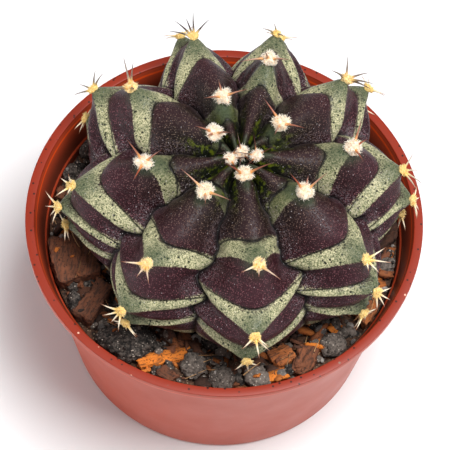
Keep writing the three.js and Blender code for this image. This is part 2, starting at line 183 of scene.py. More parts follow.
def revolve(profile: Sequence[tuple[float, float]], steps: int) -> BMesh:
    """Spin a profile about the pot's axis into a closed shell.

    Args:
        profile: Radius and height of each point in millimetres, both ends on the axis.
        steps: Number of steps round the axis.

    Returns:
        The shell, with normals that point outwards.
    """
    shell = bmesh.new()
    points = [shell.verts.new((radius * MM, 0.0, height * MM)) for radius, height in profile]
    edges = [shell.edges.new(pair) for pair in zip(points, points[1:])]
    bmesh.ops.spin(shell, geom=points + edges, cent=(0.0, 0.0, 0.0), axis=UP,
                   angle=FULL_TURN, steps=steps, use_merge=True)
    bmesh.ops.remove_doubles(shell, verts=shell.verts, dist=MERGE)
    bmesh.ops.recalc_face_normals(shell, faces=shell.faces)
    return shell


# ---------------------------------------------------------------- finishes


# The attributes that the skin and the spines carry for their finishes.
SKIN_TONES = ("band", "crease", "areole", "furrow", "polar")
SPINE_TONES = ("age", "along", "char")
MAP_INPUTS = ("Value", "From Min", "From Max", "To Min", "To Max")


class Kind(Enum):
    """The kinds of shader node, by what they do here.

    Each holds the node's type after the word ShaderNode, its settings, the inputs that values
    are given for, in order, and the output that is read.
    """

    RAMP = ("MapRange", {}, MAP_INPUTS, "Result")
    SOFT = ("MapRange", {"interpolation_type": "SMOOTHSTEP"}, MAP_INPUTS, "Result")
    MIX = ("Mix", {"data_type": "RGBA"}, (0, 6, 7), 2)
    TIMES = ("Math", {"operation": "MULTIPLY"}, (0, 1), 0)
    TIMES_PLUS = ("Math", {"operation": "MULTIPLY_ADD"}, (0, 1, 2), 0)
    ABOVE = ("Math", {"operation": "GREATER_THAN"}, (0, 1), 0)
    DOT = ("VectorMath", {"operation": "DOT_PRODUCT"}, (0, 1), "Value")
    NOISE = ("TexNoise", {}, ("Vector", "Scale", "Detail", "Roughness"), "Fac")
    CELLS = ("TexVoronoi", {}, ("Vector", "Scale"), "Distance")
    READ = ("Attribute", {}, (), "Fac")
    READ_PLACE = ("Attribute", {}, (), "Vector")
    PLACE = ("TexCoord", {}, (), "Object")
    FACING = ("NewGeometry", {}, (), "Normal")
    HEIGHT = ("SeparateXYZ", {}, (0,), "Z")
    STRETCH = ("Mapping", {}, ("Vector", "Scale"), "Vector")
    BUMP = ("Bump", {}, ("Strength", "Distance", "Height", "Normal"), "Normal")
    SHADER = ("BsdfPrincipled", {}, (), "BSDF")
    OUTPUT = ("OutputMaterial", {}, ("Surface",), None)


class Coat:
    """A material in the making."""

    def __init__(self, name: str) -> None:
        """Start a material, named for what the real surface is made of."""
        self.material = bpy.data.materials.new(name)
        self.material.use_nodes = True
        self.tree = self.material.node_tree
        self.tree.nodes.clear()

    def add(self, kind: Kind, *values: Input, named: Optional[dict[str, Input]] = None,
            **settings: str) -> Optional[NodeSocket]:
        """Add a node with its settings and links.

        Args:
            kind: What the node does.
            values: For each input of the kind, a number, a vector, a hex code or a socket.
            named: The same for further inputs, by their names.
            settings: Further settings of the node.

        Returns:
            The output that is read, where the kind has one.
        """
        node_type, fixed, inputs, output = kind.value
        node = self.tree.nodes.new("ShaderNode" + node_type)
        for name, value in {**fixed, **settings}.items():
            setattr(node, name, value)
        for key, value in [*zip(inputs, values), *(named or {}).items()]:
            if isinstance(value, NodeSocket):
                self.tree.links.new(value, node.inputs[key])
            else:
                hex_code = isinstance(value, str)
                node.inputs[key].default_value = linear(value) if hex_code else value
        return node.outputs[output] if node.outputs else None

    def finish(self, inputs: dict[str, Input]) -> Material:
        """Add the shader with its inputs, by their names, and return the material."""
        self.add(Kind.OUTPUT, self.add(Kind.SHADER, named=inputs))
        return self.material


@dataclass(frozen=True)
class WaxySkin:
    """Cactus epidermis: a tough waxy skin of tiny domed cells.

    The wax gives a soft broad sheen, the cells a fine grain with pale glints and a painted
    highlight on the tops of the lit cells, and the pigment lies in bands: near-black purple
    chins, with green bands of chlorophyll between them. A painted highlight runs along the
    chins' crests, and painted shade darkens the furrows' bottoms and the creases under the
    chins' lips. Ramps of age run over the polar angle, those of collar, tip and crease shadow
    over millimetres from the areole or the crease, and the others over shares.
    """

    chin_young: str = "#140805"
    chin_old: str = "#25050d"
    # Painted highlight colours for the lit tops of the domed cells, young and old.
    cell_highlight_young: str = "#96806c"
    cell_highlight_old: str = "#a0626a"
    # Painted highlight along the chins' crests.
    crest_highlight: str = "#8a5a66"
    band_pale: str = "#d0c8a0"
    band_green: str = "#626a46"
    band_tip: str = "#3c4a34"
    band_young: str = "#3c441e"
    band_dot: str = "#12170e"
    # Painted shade for the furrows' bottoms and the crease lines.
    hollow_shade: str = "#0c0708"
    furrow_mist: str = "#8a7a80"
    moss: str = "#0f1408"
    moss_light: str = "#5c6616"
    glint: str = "#efe6ea"
    cell: float = 0.3
    mottle: float = 1.3
    dot_spacing: float = 1.1
    glint_spacing: float = 0.5
    dome: Ramp = (0.55, 0.1)
    lit_cells: Ramp = (0.35, 0.85)
    edge_grain: float = 2.4
    edge_wave: float = 1.0
    band_edge: Ramp = (1.45, 2.25)
    cell_highlight_share: float = 0.75
    chin_age: Ramp = (36.0, 62.0)
    crest_highlight_reach: Ramp = (0.7, 0.0, 0.0, 0.08)
    collar: Ramp = (4.6, 1.6, 0.0, 0.7)
    collar_age: Ramp = (62.0, 46.0, 0.1)
    band_grain: Ramp = (0.37, 0.61)
    band_shade: Ramp = (0.55, 0.35, 0.0, 0.4)
    band_age: Ramp = (56.0, 26.0, 0.0, 0.85)
    dot: Ramp = (0.27, 0.17, 0.0, 0.95)
    tip: Ramp = (5.2, 1.2, 0.0, 0.75)
    flank: Ramp = (0.6, 0.95)
    mist: Ramp = (0.5, 0.62, 0.0, 0.55)
    moss_age: Ramp = (38.0, 22.0)
    moss_depth: Ramp = (0.4, 0.7)
    moss_tuft: Ramp = (0.5, 0.68)
    furrow_shade_reach: Ramp = (0.9, 1.0)
    crease_shadow: Ramp = (0.5, 0.12, 0.0, 0.95)
    glint_size: Ramp = (0.22, 0.1)
    glint_rarity: Ramp = (0.7, 1.0, 0.8, 0.5)
    glint_share: float = 0.6
    sheen: Ramp = (0.3, 0.7, 0.34, 0.54)
    fine_relief: float = 0.09
    coarse_relief: float = 0.2

    def material(self) -> Material:
        """Build the skin's material from its vertex attributes."""
        coat = Coat("waxy_cactus_skin")
        add = coat.add
        place = add(Kind.PLACE)
        reads = {name: add(Kind.READ, attribute_name=name) for name in SKIN_TONES}
        reads["grain"] = add(Kind.NOISE, place, per_metre(self.cell), 2.0, 0.75)
        reads["mottle"] = add(Kind.NOISE, place, per_metre(self.mottle), 2.0, 0.6)
        # Painted highlight: the domed centre of each lit cell, which the chins take as pale
        # specks.
        cells = add(Kind.CELLS, place, per_metre(self.cell))
        dome = add(Kind.SOFT, cells, *self.dome)
        lit = add(Kind.RAMP, cells.node.outputs["Color"], *self.lit_cells)
        reads["speck"] = add(Kind.TIMES, dome, lit)
        ragged = add(Kind.TIMES_PLUS, reads["grain"], self.edge_grain, reads["band"])
        wavy = add(Kind.TIMES_PLUS, reads["mottle"], self.edge_wave, ragged)
        zone = add(Kind.SOFT, wavy, *self.band_edge)
        chin = self.chin_colour(coat, reads)
        band = self.band_colour(coat, place, reads)
        pigment = add(Kind.MIX, zone, chin, band)
        furrowed = self.furrow_colour(coat, reads, pigment)
        colour = self.lined_colour(coat, place, reads, furrowed)
        rough = add(Kind.RAMP, reads["grain"], *self.sheen)
        fine = add(Kind.BUMP, 1.0, self.fine_relief * MM, dome)
        normal = add(Kind.BUMP, 0.6, self.coarse_relief * MM, reads["mottle"], fine)
        return coat.finish({"Base Color": colour, "Roughness": rough, "Normal": normal,
                            "IOR": 1.4, "Specular IOR Level": 0.35})

    def chin_colour(self, coat: Coat, reads: dict) -> NodeSocket:
        """Return the colour of the purple chins, near-black brown where they are young.

        Args:
            coat: The material in the making.
            reads: The vertex attributes and the skin's patterns.

        Returns:
            A colour socket.
        """
        add = coat.add
        age = add(Kind.SOFT, reads["polar"], *self.chin_age)
        base = add(Kind.MIX, age, self.chin_young, self.chin_old)
        # Painted highlight: pale specks on the lit tops of the cells.
        cell_highlight = add(Kind.MIX, age, self.cell_highlight_young, self.cell_highlight_old)
        share = add(Kind.TIMES, reads["speck"], self.cell_highlight_share)
        cell_lit = add(Kind.MIX, share, base, cell_highlight)
        # Painted highlight: paler along the crest, where the light catches it.
        crest = add(Kind.SOFT, reads["furrow"], *self.crest_highlight_reach)
        crest_lit = add(Kind.MIX, crest, cell_lit, self.crest_highlight)
        collar = add(Kind.SOFT, reads["areole"], *self.collar)
        young = add(Kind.RAMP, reads["polar"], *self.collar_age)
        return add(Kind.MIX, add(Kind.TIMES, collar, young), crest_lit, self.band_tip)

    def band_colour(self, coat: Coat, place: NodeSocket,
                    reads: dict) -> NodeSocket:
        """Return the colour of the green bands, with dark dots and darker tips.

        Args:
            coat: The material in the making.
            place: Object coordinates.
            reads: The vertex attributes and the skin's patterns.

        Returns:
            A colour socket.
        """
        add = coat.add
        pale = add(Kind.SOFT, reads["grain"], *self.band_grain)
        base = add(Kind.MIX, pale, self.band_green, self.band_pale)
        shade = add(Kind.SOFT, reads["mottle"], *self.band_shade)
        mottled = add(Kind.MIX, shade, base, self.band_tip)
        youth = add(Kind.SOFT, reads["polar"], *self.band_age)
        aged = add(Kind.MIX, youth, mottled, self.band_young)
        dot = add(Kind.SOFT, add(Kind.CELLS, place, per_metre(self.dot_spacing)), *self.dot)
        dotted = add(Kind.MIX, dot, aged, self.band_dot)
        return add(Kind.MIX, add(Kind.SOFT, reads["areole"], *self.tip), dotted, self.band_tip)

    def furrow_colour(self, coat: Coat, reads: dict,
                      pigment: NodeSocket) -> NodeSocket:
        """Return the pigment with misted flanks, dark furrows and moss in the crown.

        Args:
            coat: The material in the making.
            reads: The vertex attributes and the skin's patterns.
            pigment: The colour of chins and bands.

        Returns:
            A colour socket.
        """
        add = coat.add
        flank = add(Kind.SOFT, reads["furrow"], *self.flank)
        mist = add(Kind.TIMES, flank, add(Kind.SOFT, reads["grain"], *self.mist))
        misted = add(Kind.MIX, mist, pigment, self.furrow_mist)
        crown = add(Kind.SOFT, reads["polar"], *self.moss_age)
        mossy = add(Kind.TIMES, crown, add(Kind.SOFT, reads["furrow"], *self.moss_depth))
        tuft = add(Kind.SOFT, reads["mottle"], *self.moss_tuft)
        mossed = add(Kind.MIX, mossy, misted, add(Kind.MIX, tuft, self.moss, self.moss_light))
        # Painted shade: the bottom of each deep furrow is darkened to near black.
        bottom = add(Kind.SOFT, reads["furrow"], *self.furrow_shade_reach)
        return add(Kind.MIX, bottom, mossed, self.hollow_shade)

    def lined_colour(self, coat: Coat, place: NodeSocket, reads: dict,
                     pigment: NodeSocket) -> NodeSocket:
        """Return the pigment with the chins' crease lines and with pale glints.

        Args:
            coat: The material in the making.
            place: Object coordinates.
            reads: The vertex attributes and the skin's patterns.
            pigment: The colour of the skin.

        Returns:
            A colour socket.
        """
        add = coat.add
        # Painted shadow: a thin dark line along each crease, under the chin's lip.
        line = add(Kind.SOFT, reads["crease"], *self.crease_shadow)
        crease_shaded = add(Kind.MIX, line, pigment, self.hollow_shade)
        sparks = add(Kind.CELLS, place, per_metre(self.glint_spacing))
        size = add(Kind.SOFT, sparks, *self.glint_size)
        settled = add(Kind.RAMP, reads["furrow"], *self.glint_rarity)
        rare = add(Kind.ABOVE, sparks.node.outputs["Color"], settled)
        faint = add(Kind.TIMES, add(Kind.TIMES, size, rare), self.glint_share)
        return add(Kind.MIX, faint, crease_shaded, self.glint)


@dataclass(frozen=True)
class AreoleWool:
    """Areole felt: short matted plant hairs, white when young and yellow when old."""

    young: str = "#fff5e4"
    # The roots' deeper orange is partly the felt's own tinge and partly painted shade deep in the
    # tuft.
    young_root: str = "#f0b878"
    old: str = "#ffe294"
    old_root: str = "#dd9c2c"
    root_end: Ramp = (0.0, 0.42)

    def material(self) -> Material:
        """Build the wool's material from its age and along attributes."""
        coat = Coat("areole_wool")
        add = coat.add
        age = add(Kind.READ, attribute_name="age")
        tip = add(Kind.MIX, age, self.young, self.old)
        root = add(Kind.MIX, age, self.young_root, self.old_root)
        reach = add(Kind.SOFT, add(Kind.READ, attribute_name="along"), *self.root_end)
        return coat.finish({"Base Color": add(Kind.MIX, reach, root, tip), "Roughness": 0.85,
                            "Sheen Weight": 0.5, "Sheen Roughness": 0.4})


@dataclass(frozen=True)
class SpineHorn:
    """Spine: hard dead tissue like horn, smooth, pale when old and charred by the sun."""

    root: tuple[str, str] = ("#eda25c", "#f2c868")
    middle: tuple[str, str] = ("#94482f", "#f6e6c8")
    tip: tuple[str, str] = ("#4c2018", "#9a5630")
    charred: str = "#33160f"
    root_end: Ramp = (0.1, 0.5)
    tip_start: Ramp = (0.6, 0.98)
    char_start: Ramp = (0.05, 0.4)

    def material(self) -> Material:
        """Build the horn's material from its age, along and char attributes."""
        coat = Coat("spine_horn")
        add = coat.add
        age, along, char = (add(Kind.READ, attribute_name=name) for name in SPINE_TONES)
        root, middle, tip = (add(Kind.MIX, age, young, old)
                             for young, old in (self.root, self.middle, self.tip))
        lower = add(Kind.MIX, add(Kind.SOFT, along, *self.root_end), root, middle)
        tipped = add(Kind.MIX, add(Kind.SOFT, along, *self.tip_start), lower, tip)
        dark = add(Kind.TIMES, char, add(Kind.SOFT, along, *self.char_start))
        return coat.finish({"Base Color": add(Kind.MIX, dark, tipped, self.charred),
                            "Roughness": 0.34, "IOR": 1.54})


@dataclass(frozen=True)
class MouldedPlastic:
    """Polypropylene nursery pot, injection moulded: satin, with a few grit specks on its rim.

    The rim's top is painted darker as shade against the overhead light, a painted glow runs
    along the lip's lower edge, and the inside wall darkens downwards with soil dust and
    painted shade. The ramps of rim, lip and the inside wall's soiling run over height in
    millimetres.
    """

    base: str = "#b24426"
    shade: str = "#a43b20"
    # Painted shade: the rim's top is painted darker against the overhead light.
    rim: str = "#8c260e"
    # Painted glow: bright orange where light shines through the thin lip's lower edge.
    edge: str = "#e8501c"
    speck: str = "#3c140c"
    dust: str = "#e8b8a0"
    # Soil dust and painted shade for the inside wall, darker towards the mix.
    dirt_and_shade: str = "#3a1c12"
    cloud: float = 9.0
    grain: float = 0.5
    relief: float = 0.03
    speck_spacing: float = 1.5
    speck_size: Ramp = (0.2, 0.13)
    dust_share: Ramp = (0.78, 0.84)
    rim_start: Ramp = (-0.5, -0.1)
    rim_shade_share: float = 0.85
    lip_glow_start: Ramp = (-0.35, -0.1)
    lip_glow_end: Ramp = (0.45, 0.2)
    inner_side: Ramp = (-2.0, -16.0)
    dirt_and_shade_depth: Ramp = (-0.6, -6.0, 0.1, 0.8)
    sheen: Ramp = (0.3, 0.7, 0.36, 0.46)

    def material(self, rim_low: float, rim_high: float) -> Material:
        """Build the plastic's material.

        Args:
            rim_low: Height of the lip's lower edge in millimetres.
            rim_high: Height of the rim's top in millimetres.

        Returns:
            The material.
        """
        coat = Coat("moulded_polypropylene")
        add = coat.add
        place = add(Kind.PLACE)
        height = add(Kind.HEIGHT, place)
        clouds = add(Kind.NOISE, place, per_metre(self.cloud), 3.0)
        base = add(Kind.MIX, clouds, self.base, self.shade)
        on_rim = add(Kind.SOFT, height, *at_height(rim_high, self.rim_start))
        # Painted shade: the rim's top is darkened against the overhead light.
        rim_shaded = add(Kind.MIX, add(Kind.TIMES, on_rim, self.rim_shade_share), base, self.rim)
        cells = add(Kind.CELLS, place, per_metre(self.speck_spacing))
        spots = add(Kind.TIMES, add(Kind.SOFT, cells, *self.speck_size), on_rim)
        seldom = add(Kind.RAMP, cells.node.outputs["Color"], *self.dust_share)
        gritty = add(Kind.MIX, spots, rim_shaded, add(Kind.MIX, seldom, self.speck, self.dust))
        # Painted glow along the lip's lower edge, where light shines through the thin plastic.
        above = add(Kind.SOFT, height, *at_height(rim_low, self.lip_glow_start))
        below = add(Kind.SOFT, height, *at_height(rim_low, self.lip_glow_end))
        lip_glowing = add(Kind.MIX, add(Kind.TIMES, above, below), gritty, self.edge)
        # Soil dust and painted shade: the inside wall darkens from the rim down.
        outward = add(Kind.DOT, place, add(Kind.FACING))
        inside = add(Kind.SOFT, outward, *at_height(0.0, self.inner_side))
        depth = add(Kind.SOFT, height, *at_height(rim_high, self.dirt_and_shade_depth))
        soiled_and_shaded = add(Kind.MIX, add(Kind.TIMES, inside, depth), lip_glowing, self.dirt_and_shade)
        grain = add(Kind.NOISE, place, per_metre(self.grain), 2.0)
        return coat.finish({
            "Base Color": soiled_and_shaded, "Roughness": add(Kind.RAMP, clouds, *self.sheen),
            "Normal": add(Kind.BUMP, 0.25, self.relief * MM, grain), "IOR": 1.49,
            "Specular IOR Level": 0.4})


@dataclass(frozen=True)
class RoughMineral:
    """Crushed stone or humus: two mottled tones with pale crystals, rough to the touch."""

    name: str
    dark: str
    light: str
    crystal: str
    grit: float = 0.8
    crystals: float = 0.35
    relief: float = 0.12
    tone_share: float = 0.4
    tone_mix: Ramp = (0.5, 0.92)
    crystal_spacing: float = 0.55
    crystal_size: Ramp = (0.34, 0.16)
    crystal_rarity: Ramp = (0.52, 0.66)

    def material(self) -> Material:
        """Build the mineral's material, which reads a tone attribute."""
        coat = Coat(self.name)
        add = coat.add
        place = add(Kind.PLACE)
        tone = add(Kind.READ, attribute_name="tone")
        grit = add(Kind.NOISE, place, per_metre(self.grit), 4.0, 0.7)
        tinted = add(Kind.TIMES_PLUS, tone, self.tone_share, grit)
        body = add(Kind.MIX, add(Kind.SOFT, tinted, *self.tone_mix), self.dark, self.light)
        cells = add(Kind.CELLS, place, per_metre(self.crystal_spacing))
        small = add(Kind.SOFT, cells, *self.crystal_size)
        rare = add(Kind.RAMP, cells.node.outputs["Color"], *self.crystal_rarity, 0.0,
                   self.crystals)
        colour = add(Kind.MIX, add(Kind.TIMES, small, rare), body, self.crystal)
        bump = add(Kind.BUMP, 0.9, self.relief * MM, grit)
        return coat.finish({"Base Color": colour, "Roughness": 0.92, "Normal": bump})


@dataclass(frozen=True)
class PineBark:
    """Composted pine bark: layered cork, charred grey to raw orange, streaked along its grain."""

    charred: str = "#2c211c"
    brown: str = "#844e32"
    orange: str = "#e8842c"
    pore: str = "#120c09"
    layers: tuple[float, float, float] = (0.5, 2.2, 3.0)
    grit: float = 0.6
    brown_at: Ramp = (0.0, 0.5)
    orange_at: Ramp = (0.5, 1.0)
    streak: Ramp = (0.54, 0.4, 0.0, 0.65)
    pores: Ramp = (0.43, 0.34, 0.0, 0.85)
    grit_relief: float = 0.22
    layer_relief: float = 0.2

    def material(self) -> Material:
        """Build the bark's material from its tone and grain attributes."""
        coat = Coat("pine_bark")
        add = coat.add
        tone = add(Kind.READ, attribute_name="tone")
        along = add(Kind.STRETCH, add(Kind.READ_PLACE, attribute_name="grain"), self.layers)
        streaks = add(Kind.NOISE, along, 0.9, 4.0, 0.65)
        grit = add(Kind.NOISE, add(Kind.PLACE), per_metre(self.grit), 3.0, 0.7)
        dull = add(Kind.MIX, add(Kind.RAMP, tone, *self.brown_at), self.charred, self.brown)
        base = add(Kind.MIX, add(Kind.RAMP, tone, *self.orange_at), dull, self.orange)
        streaked = add(Kind.MIX, add(Kind.SOFT, streaks, *self.streak), base, self.charred)
        colour = add(Kind.MIX, add(Kind.SOFT, grit, *self.pores), streaked, self.pore)
        fine = add(Kind.BUMP, 1.0, self.grit_relief * MM, grit)
        normal = add(Kind.BUMP, 0.8, self.layer_relief * MM, streaks, fine)
        return coat.finish({"Base Color": colour, "Roughness": 0.88, "Normal": normal})


@dataclass(frozen=True)
class PaintedFloor:
    """Studio table: matt white paint."""

    white: str = "#f6f6f6"

    def material(self) -> Material:
        """Build the floor's material."""
        return Coat("matt_white_table").finish({"Base Color": self.white, "Roughness": 0.8})


# ---------------------------------------------------------------- repeated small shapes


class Bundle:
    """Copies of one small template mesh, each moved to its own place in one mesh."""

    def __init__(self, template: Mesh, tones: Sequence[str] = ("tone",)) -> None:
        """Start an empty bundle.

        Args:
            template: The mesh that is repeated.
            tones: Names of the float attributes that each copy sets.
        """
        self.template = template
        self.count = len(template.vertices)
        self.shape = bmesh.new()
        self.layers = {name: self.shape.verts.layers.float.new(name) for name in tones}

    def add(self, place: Callable[[Vector], Vector], tones: Tones) -> None:
        """Add one copy.

        Args:
            place: Turns a template point into its place in metres.
            tones: For each attribute, its value at a template point.
        """
        self.shape.from_mesh(self.template)
        self.shape.verts.ensure_lookup_table()
        for vertex in self.shape.verts[-self.count:]:
            for name, value in tones.items():
                vertex[self.layers[name]] = value(vertex.co)
            vertex.co = place(vertex.co)


def strand_template(sides: int, cuts: int, tip: float) -> Mesh:
    """Make a tapered rod of unit length and unit root radius that stands on the origin.

    Args:
        sides: Number of its sides.
        cuts: Number of rings between root and tip.
        tip: Radius at the tip.

    Returns:
        The mesh.
    """
    rod = bmesh.new()
    bmesh.ops.create_cone(rod, cap_ends=True, segments=sides, radius1=1.0, radius2=tip, depth=1.0)
    long_edges = [e for e in rod.edges if abs(e.verts[0].co.z - e.verts[1].co.z) > 0.5]
    bmesh.ops.subdivide_edges(rod, edges=long_edges, cuts=cuts, use_grid_fill=True)
    bmesh.ops.translate(rod, verts=rod.verts, vec=(0.0, 0.0, 0.5))
    return to_mesh(rod, "strand_template")


@dataclass(frozen=True)
class Strand:
    """A curved, tapering spine, hair or rootlet, in millimetres."""

    root: Vector
    aim: Vector
    bend: Vector
    length: float
    thickness: float
    bow: float = 0.1
    flare: float = 0.0

    def place(self, local: Vector) -> Vector:
        """Return where a point of the unit rod lies, in metres."""
        side = self.aim.cross(self.bend)
        arc = self.bow * self.length * (local.z ** 2 - 0.35 * local.z)
        width = self.thickness * (1.0 + self.flare * (1.0 - local.z) ** 6)
        return MM * (
            self.root + self.aim * (self.length * local.z)
            + self.bend * (arc + local.x * width) + side * (local.y * width)
        )


# ---------------------------------------------------------------- pot


@dataclass
class NurseryPot:
    """The low plastic pot: tapered wall, flanged rim, inner ledge, foot and drainage holes."""

    rim_radius: float = 42.5
    height: float = 45.7
    base_radius: float = 34.0
    rim_width: float = 1.9
    lip_depth: float = 1.6
    step_depth: float = 1.0
    step_width: float = 0.55
    flange_width: float = 2.5
    draft: float = 0.1
    upper_wall: float = 0.7
    lower_wall: float = 1.1
    ledge_depth: float = 7.2
    ledge_width: float = 0.4
    foot_width: float = 3.6
    foot_height: float = 1.0
    foot_edge: float = 0.6
    foot_slope: float = 0.8
    floor_thickness: float = 1.2
    floor_cove: float = 1.5
    hole_count: int = 6
    hole_radius: float = 2.8
    hole_circle: float = 19.0
    steps: int = 240
    edge_round: float = 0.14
    edge_angle: float = 20.0
    smooth_angle: float = 40.0

    @property
    def wall_top(self) -> float:
        """Height of the wall's top, under the flange."""
        return self.height - self.lip_depth - self.step_depth

    @property
    def ledge_level(self) -> float:
        """Height of the ledge inside the wall."""
        return self.height - self.ledge_depth

    @property
    def floor_level(self) -> float:
        """Height of the floor's upper side."""
        return self.foot_height + self.floor_thickness

    def outer_radius(self, z: float) -> float:
        """Return the wall's outer radius at a height."""
        return blend(self.base_radius, self.rim_radius - self.flange_width, z / self.wall_top)

    def inner_radius(self, z: float) -> float:
        """Return the wall's inner radius at a height.

        Args:
            z: Height above the table in millimetres.

        Returns:
            The radius in millimetres.
        """
        if z > self.ledge_level:
            share = (z - self.ledge_level) / self.ledge_depth
            return blend(self.outer_radius(self.ledge_level) - self.upper_wall,
                         self.rim_radius - self.rim_width, share)
        return self.outer_radius(z) - self.lower_wall

    def profile(self) -> list[tuple[float, float]]:
        """Return the section from the underside's centre round the rim to the floor's centre.

        Returns:
            Radius and height of each point in millimetres.
        """
        top, rim, ledge, floor = self.wall_top, self.rim_radius, self.ledge_level, self.floor_level
        foot = self.base_radius - self.foot_width
        return [
            (0.0, self.foot_height),
            (foot - self.foot_slope, self.foot_height),
            (foot, 0.0),
            (self.base_radius - self.foot_edge, 0.0),
            (self.outer_radius(1.0), 1.0),
            (self.outer_radius(0.5 * top), 0.5 * top),
            (rim - self.flange_width, top),
            (rim - self.step_width, top + self.draft),
            (rim - self.step_width, top + self.step_depth),
            (rim, top + self.step_depth + self.draft),
            (rim, self.height),
            (rim - self.rim_width, self.height),
            (self.inner_radius(ledge + 0.01), ledge),
            (self.inner_radius(ledge - self.ledge_width), ledge - self.ledge_width),
            (self.inner_radius(floor + self.floor_cove), floor + self.floor_cove),
            (self.inner_radius(floor) - self.floor_cove, floor),
            (0.0, floor),
        ]

    def drill(self) -> Mesh:
        """Return the cutters of the drainage holes.

        Returns:
            Their mesh in metres.
        """
        cutter = bmesh.new()
        for hole in range(self.hole_count):
            turn = FULL_TURN * hole / self.hole_count
            seat = Vector((math.cos(turn), math.sin(turn), 0.0)) * self.hole_circle
            seat.z = self.foot_height
            bmesh.ops.create_cone(
                cutter, cap_ends=True, segments=32, radius1=self.hole_radius * MM,
                radius2=self.hole_radius * MM, depth=4.0 * self.floor_thickness * MM,
                matrix=Matrix.Translation(seat * MM))
        return to_mesh(cutter, "pot_drill")

    def build(self) -> None:
        """Build the pot and let its drainage holes through."""
        shell = revolve(self.profile(), self.steps)
        sharp = [
            e for e in shell.edges
            if len(e.link_faces) == 2 and e.calc_face_angle() > math.radians(self.edge_angle)
        ]
        bmesh.ops.bevel(shell, geom=sharp, offset=self.edge_round * MM, offset_type="OFFSET",
                        affect="EDGES", segments=3, profile=0.5, material=-1,
                        clamp_overlap=True)
        blank = to_scene("pot_blank", to_mesh(shell, "pot_blank"))
        drill = to_scene("pot_drill", self.drill())
        cut = blank.modifiers.new("holes", "BOOLEAN")
        cut.operation = "DIFFERENCE"
        cut.solver = "EXACT"
        cut.object = drill
        drilled = applied(blank)
        bpy.data.objects.remove(drill)
        finish = MouldedPlastic().material(self.height - self.lip_depth, self.height)
        finish_piece("nursery_pot", drilled, finish, "pot", ["pot"], self.smooth_angle)


# ---------------------------------------------------------------- plant


@dataclass(frozen=True)
class Rib:
    """One rib of the plant. All angles are degrees.

    heading is its direction on the plan, bias turns the furrow on its far side, spread narrows
    it at its widest, tuft says whether its youngest areole shows in the crown, areoles are its
    areoles' polar angles from the crown down, lean is how far each leans off the heading, and
    girth is how wide each chin grows.
    """

    heading: float
    bias: float
    spread: float
    tuft: bool
    areoles: tuple[float, ...]
    lean: tuple[float, ...]
    girth: tuple[float, ...]


@dataclass(frozen=True)
class Growth:
    """The stretch between two areoles that a point lies in, and how far along it lies."""

    index: int
    phase: float
    span: float


class Age(Enum):
    """The age of an areole, which sets its wool and spines."""

    CROWN = "crown"
    YOUNG = "young"
    GROWN = "grown"
    OLD = "old"


@dataclass(frozen=True)
class AreoleKind:
    """Wool and spines of one age, in millimetres.

    spines holds, for each spine, its turn round the areole from the downhill direction, how far
    it lifts off the skin, both in degrees, and its length.
    """

    pad: float
    pad_height: float
    hairs: int
    hair_length: float
    tint: float
    spine_root: float
    spine_tint: float
    spines: tuple[tuple[float, float, float], ...]


@dataclass(frozen=True)
class AreoleSeat:
    """The areole's place, its outward direction, the downhill one and the sideways one."""

    place: Vector
    outward: Vector
    downhill: Vector
    sideways: Vector

    def along(self, turn: float) -> Vector:
        """Return the direction on the skin at an angle from downhill, in radians."""
        return self.downhill * math.cos(turn) + self.sideways * math.sin(turn)


AREOLE_KINDS = {
    Age.CROWN: AreoleKind(1.35, 0.9, 190, 0.8, 0.0, 0.2, 0.0, (
        (-120, 24, 4.4), (100, 20, 4.8), (20, 16, 4.0), (175, 30, 4.0))),
    Age.YOUNG: AreoleKind(1.75, 1.35, 330, 0.85, 0.05, 0.32, 0.1, (
        (-90, 34, 5.6), (90, 34, 5.6), (30, 36, 3.6))),
    Age.GROWN: AreoleKind(1.4, 1.0, 200, 0.6, 0.75, 0.32, 0.7, (
        (-65, 34, 4.6), (55, 32, 4.6), (-5, 40, 3.6), (160, 60, 2.6))),
    Age.OLD: AreoleKind(1.15, 0.8, 140, 0.5, 1.0, 0.28, 1.0, (
        (-80, 26, 3.4), (-38, 30, 3.8), (4, 34, 3.8), (42, 28, 3.6), (82, 24, 3.2))),
}


